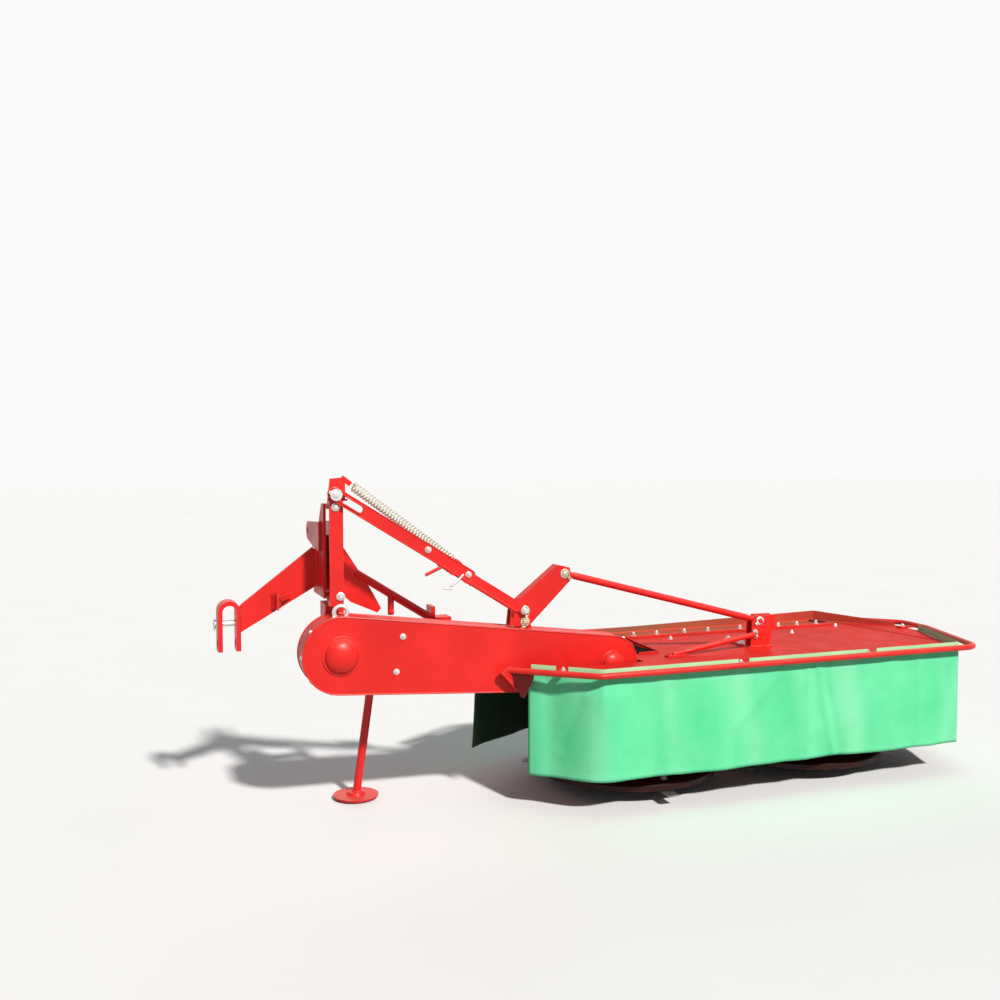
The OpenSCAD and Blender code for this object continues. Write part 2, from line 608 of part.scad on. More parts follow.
// Lift linkage: lever, strut, slotted link with its rod, relief spring
module lever() color(red) place() {
    a = lever_pin;
    cheek = [a + [-62, -13], a + [18, -16], a + [196, 158], a + [188, 204], a + [135, 216], a + [-24, 89],
        a + [-56, 46]];
    for (y = [cheek_rear, cheek_front]) difference() {
        along_y(y, y + cheek_t) polygon(cheek);
        for (p = [lever_pin, link_pin, strut_pin]) rod_y(p, pin_r + pin_gap, y - 1, y + cheek_t + 1);
    }
    along_y(cheek_rear + cheek_t, cheek_front) polygon([a + [-56, 46], a + [-24, 89], a + [135, 216],
        a + [140, 209], a + [-17, 83], a + [-47, 42]]);
}
module lever_pins() color(zinc) place() {
    for (p = [lever_pin, strut_pin]) {
        rod_y(p, pin_r, cheek_rear - 8, cheek_front + cheek_t + 8);
        rod_y(p, pin_r + 7, cheek_front + cheek_t, cheek_front + cheek_t + 5);
    }
    rod_y(link_pin, pin_r, link_y - link_t / 2 - 12, cheek_front + cheek_t + 8);
    rod_y(link_pin, pin_r + 7, cheek_front + cheek_t, cheek_front + cheek_t + 5);
}
module strut() color(red) place() difference() {
    u = dir2(strut_a);
    s = strut_pin + u * 15;
    e = bracket_pin - u * 15;
    union() {
        rod([s[0], strut_y, s[1]], [e[0], strut_y, e[1]], strut_r);
        rod_y(strut_pin, eye_r, strut_y - 11, strut_y + 11);
        rod_y(bracket_pin, eye_r, strut_y - 11, strut_y + 11);
    }
    rod_y(strut_pin, pin_r + pin_gap, -400, 0);
    rod_y(bracket_pin, pin_r + drift_gap, -400, 0);
}
wide_end = 610;
module link_bar() color(red) place() difference() {
    union() {
        along_y(link_y, spring_y + 8) translate(spring_q) rotate(spring_a)
            translate([run_gap, -10]) square([26, 20]);
        along_y(link_y - link_t / 2, link_y + link_t / 2) on_link() union() {
            translate([-5, 0]) circle(r = link_w / 2);
            translate([-5, -link_w / 2]) square([wide_end + 5, link_w]);
            translate([wide_end - 1, -16]) square([link_len - wide_end + 1, 32]);
            translate([link_len, 0]) circle(r = eye_r);
        }
    }
    along_y(-400, 0) on_link() union() {
        circle(r = slot_pin_r + drift_gap);
        translate([slot_len, 0]) circle(r = slot_pin_r + drift_gap);
        translate([0, -slot_pin_r - drift_gap]) square([slot_len, 2 * (slot_pin_r + drift_gap)]);
    }
    along_y(-400, 0) on_link() translate([link_len, 0]) circle(r = pin_r + pin_gap);
}
rod_rr = 7;
function link_3d(u, v, y) = [link_xz(u, v)[0], y, link_xz(u, v)[1]];
module link_rod() color(red) place() {
    y = link_y - link_t / 2 - rod_rr - pin_gap;
    rod(link_3d(464, -22, y), link_3d(836, -22, y), rod_rr);
    rod(link_3d(484, -22, y), link_3d(445, -81, y), rod_rr - 0.6);
    for (u = [520, 588]) along_y(y - rod_rr - 2, link_y - link_t / 2) on_link()
        translate([u, -31]) square([16, 19]);
}
module relief_spring() color(zinc) place() {
    n = spring_coils;
    pitch = spring_h / n;
    translate([spring_p[0], spring_y, spring_p[1]]) rotate([0, 90 - spring_a, 0])
        rotate_extrude() polygon(concat([[spring_r - 6, 0]],
            [for (i = [0 : n - 1]) each [[spring_r - 2, pitch * i], [spring_r, pitch * (i + 0.5)]]],
            [[spring_r - 2, spring_h], [spring_r - 6, spring_h]]));
}

mast();
top_link_lugs();
left_arm();
right_arm();
left_clevis();
right_clevis();
cross_pin();
swing_pin();
swing_post();
head_plate();
slot_pin_stud();
bearing_carrier();
stand_arm();
stand_sleeve();
stand_leg();
stand_foot();
input_shaft();
belt_housing();
belt_cover();
eye_ring();
gear_beam();
cover_plate();
front_guard();
rail_rear_tube();
rail_outer_tube();
rail_front_tube();
rail_stays();
rail_bracket();
skirt_rear();
skirt_outer();
skirt_front();
strut_bracket();
cover_brace();
drum_left();
drum_right();
blades_left();
blades_right();
saucer_left();
saucer_right();
lever();
lever_pins();
strut();
link_bar();
link_rod();
relief_spring();
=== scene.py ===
"""Looks of the drum mower: camera, light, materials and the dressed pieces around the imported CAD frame."""
import math
import random

import bmesh
import bpy
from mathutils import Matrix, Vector


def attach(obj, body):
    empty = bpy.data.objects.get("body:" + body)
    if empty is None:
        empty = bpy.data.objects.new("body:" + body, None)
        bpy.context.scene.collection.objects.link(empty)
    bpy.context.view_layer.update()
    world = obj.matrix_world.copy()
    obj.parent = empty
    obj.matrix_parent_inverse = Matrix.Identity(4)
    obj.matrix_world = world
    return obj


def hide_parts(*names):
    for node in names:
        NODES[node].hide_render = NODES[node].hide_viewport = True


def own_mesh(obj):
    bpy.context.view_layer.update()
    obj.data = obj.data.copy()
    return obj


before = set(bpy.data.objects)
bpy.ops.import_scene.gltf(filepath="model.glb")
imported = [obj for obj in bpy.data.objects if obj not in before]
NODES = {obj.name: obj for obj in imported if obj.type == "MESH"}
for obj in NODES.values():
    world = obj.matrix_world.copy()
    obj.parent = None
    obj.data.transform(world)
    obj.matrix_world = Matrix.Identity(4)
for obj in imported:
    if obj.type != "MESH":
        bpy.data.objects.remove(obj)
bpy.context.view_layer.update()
scene = bpy.context.scene
random.seed(7)

# The CAD source's own axes (mm, left drum axis at x = y = 0) in the row frame (m)
SHIFT = Vector((0.044392, 0.0175, 0.0))


def at(x, y, z):
    return Vector((x, y, z)) * 0.001 + SHIFT


def pin_at(pin, y):
    """Place on the axis of a pin, given as (x, z), at depth y."""
    return at(pin[0], y, pin[1])


# Axes and pins that lie across the machine, as (x, z)
INPUT = (-1231.28, 623.0)
DRIVEN = (-152.0, 522.0)
LEVER_PIN = (-501.28, 698.0)
LINK_PIN = (-505.28, 745.0)
STRUT_PIN = (-334.28, 879.0)
BRACKET_PIN = (559.72, 642.0)
SLOT_PIN = (-1240.28, 1204.5)
LINK_ANGLE = math.atan2(LINK_PIN[1] - SLOT_PIN[1], LINK_PIN[0] - SLOT_PIN[0])
LINK_LEN = math.hypot(LINK_PIN[0] - SLOT_PIN[0], LINK_PIN[1] - SLOT_PIN[1])
SPRING_TOP = (-1181.28, 1240.5)
SPRING_LOW = (-785.28, 945.0)
SPRING_Y = -128.0
# Upright lines of the machine: swing post, left hitch clevis, foot of the parking leg
POST_X = -1235.28
HITCH_X = -1594.78
LEG_X = -1117.28
COVER_Z = 526.0
SKIRT_LOW = 126.0
UP = Vector((0, 0, 1))
BACK = Vector((0, -1, 0))
FRONT = Vector((0, 1, 0))


# Materials
class Graph:
    """Node tree with short ways to add the nodes that recur."""

    def __init__(self, tree):
        self.nodes = tree.nodes
        self.link = tree.links.new

    def add(self, kind, **inputs):
        """New shader node; each keyword sets the input of that name, with _ for its spaces."""
        n = self.nodes.new("ShaderNode" + kind)
        for key, value in inputs.items():
            n.inputs[key.replace("_", " ")].default_value = value
        return n

    def feed(self, socket, value):
        """Links an output to the socket, or sets a number or a colour in it."""
        if isinstance(value, bpy.types.NodeSocket):
            self.link(value, socket)
        else:
            socket.default_value = (*value, 1.0) if isinstance(value, tuple) else value

    def noise(self, vec, scale, detail=4.0, rough=0.55):
        n = self.add("TexNoise", Scale=scale, Detail=detail, Roughness=rough)
        self.link(vec, n.inputs["Vector"])
        return n.outputs["Fac"]

    def remap(self, src, a, b, c=0.0, d=1.0):
        """The source's range a to b, stretched to c to d."""
        n = self.add("MapRange", From_Min=a, From_Max=b, To_Min=c, To_Max=d)
        self.link(src, n.inputs["Value"])
        return n.outputs["Result"]

    def calc(self, operation, a, b):
        n = self.add("Math")
        n.operation = operation
        self.feed(n.inputs[0], a)
        self.feed(n.inputs[1], b)
        return n.outputs[0]

    def mult(self, a, b):
        return self.calc("MULTIPLY", a, b)

    def mix(self, fac, a, b):
        """Colour a where fac is nought, b where it is one."""
        n = self.add("Mix")
        n.data_type = "RGBA"
        self.link(fac, n.inputs[0])
        self.feed(n.inputs[6], a)
        self.feed(n.inputs[7], b)
        return n.outputs[2]

    def split(self, vec):
        n = self.add("SeparateXYZ")
        self.link(vec, n.inputs[0])
        return n.outputs

    def bump(self, height, strength, distance, under=None):
        """Normal bumped by a height, over another bumped normal if one is given."""
        n = self.add("Bump", Strength=strength, Distance=distance)
        self.link(height, n.inputs["Height"])
        if under is not None:
            self.link(under, n.inputs["Normal"])
        return n.outputs["Normal"]


def shader(name):
    """New material with its graph and the inputs of its surface."""
    m = bpy.data.materials.new(name)
    m.use_nodes = True
    return m, Graph(m.node_tree), m.node_tree.nodes["Principled BSDF"].inputs


EDGE_RADIUS = 0.004
EDGE_WEAR = 0.7
DUST_ROUGHNESS = 0.35
COAT_ROUGHNESS = 0.25


def edge_mask(g):
    """One on worn convex edges, nought on flats: the rounded normal against the true one."""
    rounded = g.add("Bevel", Radius=EDGE_RADIUS)
    rounded.samples = 4
    dot = g.add("VectorMath")
    dot.operation = "DOT_PRODUCT"
    g.link(rounded.outputs["Normal"], dot.inputs[0])
    g.link(g.add("NewGeometry").outputs["True Normal"], dot.inputs[1])
    return g.remap(dot.outputs["Value"], 0.985, 0.86)


def paint(name, base, deep, dust, dust_amt, rough=(0.30, 0.50), wear=(0.30, 0.22, 0.19), coat=0.06,
          over=None, spec=0.35):
    """Brushed or sprayed paint: cloudy tone, dust on upward faces, rubbed edges, fine orange peel.

    over is a browner colour, the axis it grows along, and where on it that colour starts and is full.
    """
    m, g, bsdf = shader(name)
    co = g.add("TexCoord").outputs["Object"]
    cloud = g.remap(g.noise(co, 4.5, 5.0), 0.32, 0.72)
    col = g.mix(cloud, base, deep)
    grime = g.remap(g.noise(co, 38.0, 8.0, 0.7), 0.56, 0.78, 0.0, 0.35)
    col = g.mix(grime, col, tuple(0.45 * c + 0.02 for c in deep))
    upward = g.remap(g.split(g.add("NewGeometry").outputs["Normal"])["Z"], 0.35, 0.98)
    patch = g.remap(g.noise(co, 7.0, 7.0, 0.62), 0.34, 0.66, 0.25, 1.0)
    dusty = g.mult(g.mult(upward, patch), dust_amt)
    col = g.mix(dusty, col, dust)
    if over:
        # Browner colour that grows along one axis of the object, in blotches
        brown_tint, axis, start, end = over
        reach = g.remap(g.split(co)[axis], start, end)
        blotch = g.remap(g.noise(co, 5.0, 6.0, 0.6), 0.25, 0.6, 0.45, 0.95)
        col = g.mix(g.mult(reach, blotch), col, brown_tint)
    rub = g.remap(g.noise(co, 55.0, 5.0, 0.6), 0.47, 0.60)
    worn = g.mult(g.mult(edge_mask(g), rub), EDGE_WEAR)
    g.link(g.mix(worn, col, wear), bsdf["Base Color"])
    gloss = g.remap(g.noise(co, 14.0, 6.0, 0.6), 0.30, 0.70, *rough)
    g.link(g.calc("ADD", gloss, g.mult(dusty, DUST_ROUGHNESS)), bsdf["Roughness"])
    g.feed(bsdf["Coat Weight"], coat)
    g.feed(bsdf["Coat Roughness"], COAT_ROUGHNESS)
    g.feed(bsdf["Specular IOR Level"], spec)
    peel = g.bump(g.noise(co, 260.0, 3.0), 0.2, 0.0006)
    dents = g.bump(g.noise(co, 9.0, 2.0), 0.25, 0.004, under=peel)
    g.link(dents, bsdf["Normal"])
    return m


# Painted sheen: lighter, whitish bands run down the cloth, several to a metre of its length, long down its
# drop
SHEEN_BAND_SCALE = (6.0, 1.5, 1.0)
YARN_SCALE = 130.0
MUD_TOP = 0.16


def canvas(name, base, deep, mud, weave=0.25, mud_amt=0.4):
    """Coated tarpaulin: weave from the cloth's own UVs in metres, painted sheen as lighter bands, mud
    splashed up from the hem.
    """
    m, g, bsdf = shader(name)
    coords = g.add("TexCoord").outputs
    uv = coords["UV"]
    co = coords["Object"]
    cloud = g.remap(g.noise(co, 3.0, 6.0, 0.6), 0.30, 0.72)
    col = g.mix(cloud, base, deep)
    drawn = g.add("Mapping", Scale=SHEEN_BAND_SCALE)
    g.link(uv, drawn.inputs["Vector"])
    # Painted sheen: bands of a lighter, whitish colour stand in for the glossy light on the cloth
    sheen_band = g.remap(g.noise(drawn.outputs["Vector"], 1.0, 1.0, 0.35), 0.45, 0.72, 0.0, 0.6)
    col = g.mix(sheen_band, col, tuple(min(1.0, 0.85 * c + 0.16) for c in base))
    low = g.remap(g.split(uv)["Y"], MUD_TOP, 0.0)
    splash = g.remap(g.noise(co, 26.0, 9.0, 0.72), 0.44, 0.70)
    col = g.mix(g.mult(g.mult(low, splash), mud_amt), col, mud)
    rubs = g.remap(g.noise(co, 11.0, 8.0, 0.75), 0.60, 0.82, 0.0, 0.16)
    col = g.mix(rubs, col, tuple(0.6 * c for c in deep))
    waves = []
    for axis in ("X", "Y"):
        wave = g.add("TexWave", Scale=YARN_SCALE, Distortion=0.6, Detail=1.0)
        wave.bands_direction = axis
        g.link(uv, wave.inputs["Vector"])
        waves.append(wave.outputs["Fac"])
    yarn = g.mult(*waves)
    col = g.mix(g.mult(yarn, 0.12), col, tuple(0.55 * c for c in deep))
    g.link(col, bsdf["Base Color"])
    g.link(g.remap(g.noise(co, 16.0, 5.0), 0.3, 0.7, 0.55, 0.78), bsdf["Roughness"])
    g.feed(bsdf["Specular IOR Level"], 0.16)
    g.feed(bsdf["Sheen Weight"], 0.03)
    g.feed(bsdf["Sheen Roughness"], 0.5)
    woven = g.bump(yarn, weave, 0.0008)
    crumpled = g.bump(g.noise(co, 13.0, 3.0, 0.5), 0.35, 0.006, under=woven)
    g.link(crumpled, bsdf["Normal"])
    return m


def metal(name, base, deep, stain, rough, stain_amt):
    """Plated or bare steel: cloudy plating, rust bloom or handling stains, fine scratches."""
    m, g, bsdf = shader(name)
    co = g.add("TexCoord").outputs["Object"]
    cloud = g.remap(g.noise(co, 22.0, 5.0, 0.6), 0.30, 0.70)
    col = g.mix(cloud, base, deep)
    spots = g.remap(g.noise(co, 90.0, 8.0, 0.7), 0.55, 0.74, 0.0, stain_amt)
    g.link(g.mix(spots, col, stain), bsdf["Base Color"])
    g.feed(bsdf["Metallic"], 0.85)
    g.link(g.remap(g.noise(co, 60.0, 6.0, 0.6), 0.3, 0.7, *rough), bsdf["Roughness"])
    g.link(g.bump(g.noise(co, 320.0, 4.0), 0.2, 0.0005), bsdf["Normal"])
    return m


DUST = (0.44, 0.30, 0.20)
RED = paint("red_satin_paint", (0.86, 0.020, 0.015), (0.68, 0.013, 0.010), DUST, 0.22)
COVER_RED = paint("red_cover_paint", (0.73, 0.019, 0.014), (0.56, 0.014, 0.011), (0.50, 0.14, 0.09), 0.12,
                  rough=(0.40, 0.58), coat=0.0, over=((0.40, 0.12, 0.06), "Y", 0.24, 0.34), spec=0.06)
GUARD_RED = paint("red_guard_paint", (0.58, 0.060, 0.032), (0.40, 0.045, 0.025), (0.42, 0.22, 0.12), 0.6,
                  rough=(0.40, 0.62), over=((0.30, 0.115, 0.05), "X", 1.05, 0.35))
DARK = paint("dark_red_paint", (0.15, 0.012, 0.010), (0.09, 0.008, 0.007), (0.24, 0.16, 0.11), 0.4,
             rough=(0.45, 0.65), spec=0.15)
MAROON = paint("maroon_drum_paint", (0.034, 0.005, 0.004), (0.018, 0.003, 0.003), (0.060, 0.018, 0.012),
               0.40, rough=(0.34, 0.58), wear=(0.12, 0.06, 0.05), spec=0.16)
ZINC = metal("yellow_zinc", (0.70, 0.65, 0.50), (0.52, 0.47, 0.34), (0.24, 0.17, 0.10), (0.34, 0.54), 0.35)
BRIGHT = metal("bright_zinc", (0.82, 0.81, 0.78), (0.64, 0.63, 0.60), (0.34, 0.26, 0.18), (0.28, 0.46),
               0.35)
STEEL = metal("bare_steel", (0.30, 0.29, 0.28), (0.17, 0.16, 0.15), (0.16, 0.08, 0.04), (0.38, 0.62), 0.6)
CANVAS = canvas("green_canvas", (0.195, 0.86, 0.46), (0.105, 0.74, 0.33), (0.26, 0.50, 0.26), mud_amt=0.18)
# Painted shade: the cloth's inner side is a dark green that stands in for the shade under the cover
CANVAS_IN_SHADED = canvas("green_canvas_inside_painted_shade", (0.030, 0.12, 0.060), (0.018, 0.075, 0.036), (0.10, 0.09, 0.05))
HEM = canvas("pale_hem", (0.46, 0.76, 0.42), (0.36, 0.64, 0.34), (0.46, 0.52, 0.34), 0.4)
# Painted shade: a near-black sheet that stands in for the shade in the cover's cut-out
GAP_SHADE = paint("painted_gap_shade", (0.010, 0.005, 0.004), (0.006, 0.003, 0.003), (0.03, 0.02, 0.015), 0.0,
            rough=(0.7, 0.9), coat=0.0, spec=0.02)
THREAD = canvas("stitch_thread", (0.34, 0.90, 0.58), (0.26, 0.80, 0.48), (0.3, 0.5, 0.3), 0.4)


# Mesh helpers
def frame_of(axis):
    """Two directions square to the axis, and the axis itself, all of length one."""
    axis = axis.normalized()
    side = axis.cross(UP if abs(axis.z) < 0.9 else Vector((1, 0, 0))).normalized()
    return side, axis.cross(side).normalized(), axis


def ring_faces(bm, a, b):
    """Wall of four-sided faces between two closed rings of corners."""
    n = len(a)
    for i in range(n):
        bm.faces.new((a[i], a[(i + 1) % n], b[(i + 1) % n], b[i]))


def lathe(bm, base, axis, profile, sides, spin=0.0, ring=False):
    """Turned solid: profile of (radius, height) from base along axis, in metres.

    Its ends are closed, or joined to each other in a ring. A radius of nought is a point.
    """
    u, v, w = frame_of(axis)
    rings = []
    for r, h in profile:
        if r <= 1e-7:
            rings.append([bm.verts.new(base + w * h)])
            continue
        rings.append([bm.verts.new(base + w * h + r * (u * math.cos(a) + v * math.sin(a)))
                      for a in (spin + math.tau * i / sides for i in range(sides))])
    for a, b in zip(rings, rings[1:]):
        if len(b) == 1:
            for i in range(sides):
                bm.faces.new((a[i], a[(i + 1) % sides], b[0]))
        else:
            ring_faces(bm, a, b)
    if ring:
        ring_faces(bm, rings[-1], rings[0])
        return
    for end, rev in ((rings[0], True), (rings[-1], False)):
        if len(end) > 1:
            bm.faces.new(end[::-1] if rev else end)


def sweep(bm, pts, r, sides, closed=False, radii=None):
    """Round bar along points, frames carried along without twist, flat closed ends."""
    n = len(pts)
    tang = []
    for i in range(n):
        a = pts[i - 1] if (i or closed) else pts[0]
        b = pts[(i + 1) % n] if (i < n - 1 or closed) else pts[-1]
        tang.append((b - a).normalized())
    u = frame_of(tang[0])[0]
    rings = []
    for i, p in enumerate(pts):
        u = (u - tang[i] * u.dot(tang[i])).normalized()
        v = tang[i].cross(u)
        rr = radii[i] if radii else r
        rings.append([bm.verts.new(p + rr * (u * math.cos(a) + v * math.sin(a)))
                      for a in (math.tau * k / sides for k in range(sides))])
    for a, b in zip(rings, rings[1:]):
        ring_faces(bm, a, b)
    if closed:
        first, last = rings[0], rings[-1]
        shift = min(range(sides), key=lambda k: (first[k].co - last[0].co).length)
        ring_faces(bm, last, [first[(k + shift) % sides] for k in range(sides)])
    else:
        bm.faces.new(rings[0][::-1])
        bm.faces.new(rings[-1])


WASHER_H = 0.0028


def hex_bolt(bm, p, axis, across, height, washer=True, stud=0.004):
    """Hex head with chamfered top on a washer; with a stud end it reads as a nut."""
    axis = axis.normalized()
    r = across / math.sqrt(3)
    h0 = 0.0
    if washer:
        lathe(bm, p, axis, [(r * 1.45, 0.0), (r * 1.45, 0.0022), (r * 1.38, WASHER_H)], 24)
        h0 = WASHER_H
    lathe(bm, p + axis * h0, axis, [(r, 0.0), (r, height * 0.78), (r * 0.84, height)], 6,
          random.uniform(0, 1.0))
    if stud:
        s = r * 0.52
        lathe(bm, p + axis * (h0 + height), axis, [(s, 0.0), (s, stud * 0.7), (s * 0.75, stud)], 12)


def arc(c, r, a0, a1, n, u, v):
    """n points round c from angle a0 to a1, in the plane of u and v."""
    return [c + r * (math.cos(a) * u + math.sin(a) * v)
            for a in (a0 + (a1 - a0) * i / (n - 1) for i in range(n))]


def smooth_path(pts, step):
    """Catmull-Rom curve through the points, sampled at about the step."""
    out = []
    p = [pts[0] * 2 - pts[1]] + list(pts) + [pts[-1] * 2 - pts[-2]]
    for i in range(1, len(p) - 2):
        n = max(2, int((p[i + 1] - p[i]).length / step))
        for k in range(n):
            t = k / n
            out.append(0.5 * (2 * p[i] + (p[i + 1] - p[i - 1]) * t
                              + (2 * p[i - 1] - 5 * p[i] + 4 * p[i + 1] - p[i + 2]) * t * t
                              + (3 * p[i] - p[i - 1] - 3 * p[i + 1] + p[i + 2]) * t ** 3))
    out.append(pts[-1])
    return out


def prism(bm, poly, axis_vec):
    """Straight prism from a ring of 3-D points."""
    a = [bm.verts.new(p) for p in poly]
    b = [bm.verts.new(p + axis_vec) for p in poly]
    bm.faces.new(a[::-1])
    bm.faces.new(b)
    ring_faces(bm, a, b)


def bar(bm, a, b, half, height):
    """Flat bar that lies from a to b."""
    d = (b - a).normalized()
    e = Vector((-d.y, d.x, 0)) * half
    prism(bm, [a - e, b - e, b + e, a + e], UP * height)


def mesh_of(name, bm):
    me = bpy.data.meshes.new(name)
    bm.to_mesh(me)
    bm.free()
    return me


def place(name, data):
    ob = bpy.data.objects.new(name, data)
    scene.collection.objects.link(ob)
    return ob


def break_edges(ob, width, angle):
    """Rounds the edges that turn by more than the angle, in degrees."""
    mod = ob.modifiers.new("edge", "BEVEL")
    mod.width = width
    mod.segments = 2
    mod.limit_method = "ANGLE"
    mod.angle_limit = math.radians(angle)


PIECE_BEVEL_ANGLE = 35
CAD_BEVEL_ANGLE = 50
CAD_BEVEL = 0.0016


def piece(name, bm, mat, body, replaces=(), smooth=40.0, bevel=0.0):
    """Finishes a bmesh as a scene piece that rides on a CAD body."""
    bmesh.ops.recalc_face_normals(bm, faces=bm.faces)
    for e in bm.edges:
        e.smooth = len(e.link_faces) == 2 and e.calc_face_angle(0.0) < math.radians(smooth)
    for f in bm.faces:
        f.smooth = True
    me = mesh_of(name, bm)
    ob = place(name, me)
    me.materials.append(mat)
    if bevel:
        break_edges(ob, bevel, PIECE_BEVEL_ANGLE)
    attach(ob, body)
    if replaces:
        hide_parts(*replaces)
    return ob


# CAD nodes: finish and broken edges
FINISH = {
    DARK: ["rail_bracket"],
    COVER_RED: ["cover_plate", "rail_stays"],
    GUARD_RED: ["front_guard"],
    MAROON: ["drum_left", "drum_right", "saucer_left", "saucer_right"],
    STEEL: ["blades_left", "blades_right", "input_shaft"],
    BRIGHT: ["cross_pin", "swing_pin", "slot_pin_stud", "eye_ring", "lever_pins"],
    CANVAS: ["skirt_rear", "skirt_outer", "skirt_front"],
    ZINC: ["relief_spring"],
}
finish_of = {n: m for m, names in FINISH.items() for n in names}
EDGED = {"mast", "top_link_lugs", "left_arm", "right_arm", "left_clevis", "right_clevis", "swing_post",
         "head_plate", "lever", "link_bar", "strut_bracket", "gear_beam", "front_guard", "rail_stays",
         "stand_arm", "belt_cover", "belt_housing"}
for name, ob in NODES.items():
    finish = finish_of.get(name, RED)
    if not ob.data.materials:
        ob.data.materials.append(finish)
    for slot in ob.material_slots:
        slot.material = finish
    if name in EDGED:
        break_edges(ob, CAD_BEVEL, CAD_BEVEL_ANGLE)


# Guard rail: bent round tube
RAIL_R = 0.012
RAIL_Z = 533.0
BEND = 70.0
RAIL = [(-600, -238), (-323, -460), (1420, -460), (1550, -13), (1550, 150), (1235, 425), (-300, 425),
        (-610, 205)]
# Where the rail's three lengths of tube meet
REAR_JOIN = (1350, -460)
FRONT_JOIN = (1550, 90)


def bent(pts, r, steps=9):
    """Polyline with each corner turned into an arc of radius r, in mm."""
    out = [Vector(pts[0])]
    for a, b, c in zip(pts, pts[1:], pts[2:]):
        a, b, c = Vector(a), Vector(b), Vector(c)
        u, v = (b - a).normalized(), (c - b).normalized()
        k = math.atan2(u.x * v.y - u.y * v.x, u.dot(v))
        s = 1 if k > 0 else -1
        cen = b - u * r * math.tan(abs(k) / 2) + Vector((-u.y, u.x)) * s * r
        a0 = math.atan2(u.y, u.x) - s * math.pi / 2
        out += [cen + r * Vector((math.cos(a0 + k * i / steps), math.sin(a0 + k * i / steps)))
                for i in range(steps + 1)]
    return out + [Vector(pts[-1])]


def rail(name, pts, node):
    """One length of the rail in place of its CAD node."""
    bm = bmesh.new()
    path = [at(p.x, p.y, RAIL_Z) for p in bent(pts, BEND)]
    sweep(bm, path, RAIL_R, 20)
    piece(name, bm, RED, "cutter", [node])


rail("guard_rail_rear", [RAIL[0], RAIL[1], REAR_JOIN], "rail_rear_tube")
rail("guard_rail_outer", [REAR_JOIN, RAIL[2], RAIL[3], FRONT_JOIN], "rail_outer_tube")
rail("guard_rail_front", [FRONT_JOIN, *RAIL[4:]], "rail_front_tube")
# Domed caps on the rail's two ends
CAP = [(0.0121, 0), (0.0121, 0.001), (0.0108, 0.004), (0, 0.005)]
bm = bmesh.new()
for p, d in ((RAIL[0], (-0.78, 0.625)), (RAIL[-1], (-0.815, -0.58))):
    d3 = Vector((*d, 0)).normalized()
    lathe(bm, at(*p, RAIL_Z) - d3 * 0.002, d3, CAP, 20)
piece("rail_sleeves", bm, RED, "cutter")


# Skirts: hung tarpaulin panels
def offset_line(pts, t):
    """Line shifted t mm to the outer side, mitred at its corners."""
    def side(p, q):
        d = (q - p).normalized()
        return Vector((d.y, -d.x))
    p = [Vector(q) for q in pts]
    out = []
    for i, q in enumerate(p):
        if i == 0:
            out.append(q + side(q, p[1]) * t)
        elif i == len(p) - 1:
            out.append(q + side(p[i - 1], q) * t)
        else:
            a, b = side(p[i - 1], q), side(q, p[i + 1])
            out.append(q + (a + b) * t / (1 + a.dot(b)))
    return out


def resample(pts, step):
    """Points about step mm apart, each with its running length and the outward normal."""
    run, out = 0.0, []
    for a, b in zip(pts, pts[1:]):
        d = b - a
        n = max(1, round(d.length / step))
        for i in range(n):
            out.append((a + d * i / n, run + d.length * i / n))
        run += d.length
    out.append((pts[-1], run))
    line = []
    for i, (p, s) in enumerate(out):
        q0 = out[max(i - 1, 0)][0]
        q1 = out[min(i + 1, len(out) - 1)][0]
        d = (q1 - q0).normalized()
        line.append((p, s, Vector((d.y, -d.x))))
    return line


SKIRT_H = COVER_Z - SKIRT_LOW
CREASE_FADE = 60.0
# Pulled folds of a skirt: start along the run in mm and down the drop, end likewise, height and width in mm
CREASES = {"skirt_cloth_rear": (
    (947, 0.05, 1014, 0.85, 5.4, 17), (1000, 0.35, 1060, 0.98, -4.8, 20), (582, 0.55, 746, 0.15, 4.6, 24),
    (1118, 0.62, 1178, 0.36, 3.6, 18), (768, 0.2, 790, 0.95, -5.5, 45), (1300, 0.1, 1312, 0.9, 4.6, 38),
    (248, 0.12, 250, 0.95, 4.2, 22), (870, 0.25, 880, 0.95, 4.4, 30), (60, 0.15, 40, 0.95, 5.0, 46),
    (-30, 0.25, -40, 1.0, 11.0, 95), (-205, 0.15, -210, 1.0, -9.0, 55), (-95, 0.3, -150, 0.62, -3.0, 22),
)}


def crease(s, low, row):
    """Height of one pulled fold at s along the run and low down the drop, in mm."""
    s0, t0, s1, t1, tall, wide = row
    d = Vector((s1 - s0, (t1 - t0) * SKIRT_H))
    q = Vector((s - s0, (low - t0) * SKIRT_H))
    k = q.dot(d) / d.length_squared
    gap = abs(q.x * d.y - q.y * d.x) / d.length
    fade = max(0.0, 1 - (max(-k, k - 1, 0.0) * d.length / CREASE_FADE) ** 2)
    return tall * math.exp(-(gap / wide) ** 2) * fade


# Billows of the cloth: height and wave in mm, and how far the seed turns each
BILLOWS = ((7.5, 118.0, 1.0), (4.5, 59.0, 2.1), (1.6, 31.0, 1.0))
LAP_HALF = 13.0
LAP_EDGE = 5.0


def fold(s, low, seed, seams):
    """Outward set of the hanging cloth in mm: slow billows and flutes that open towards the free hem."""
    billow = sum(tall * math.sin(s / wave + turn * seed) for tall, wave, turn in BILLOWS)
    out = (0.45 + 0.55 * low) * low * billow
    for sx in seams:
        d = abs(s - sx)
        lap = 1.0 if d < LAP_HALF else max(0.0, 1 - (d - LAP_HALF) / LAP_EDGE)
        out += 1.7 * lap + 5.0 * low * math.exp(-(d / 90.0) ** 2)
        out += 3.2 * low * math.sin((s - sx) / 26.0 + 5.0 * low) * math.exp(-(d / 110.0) ** 2)
    return out


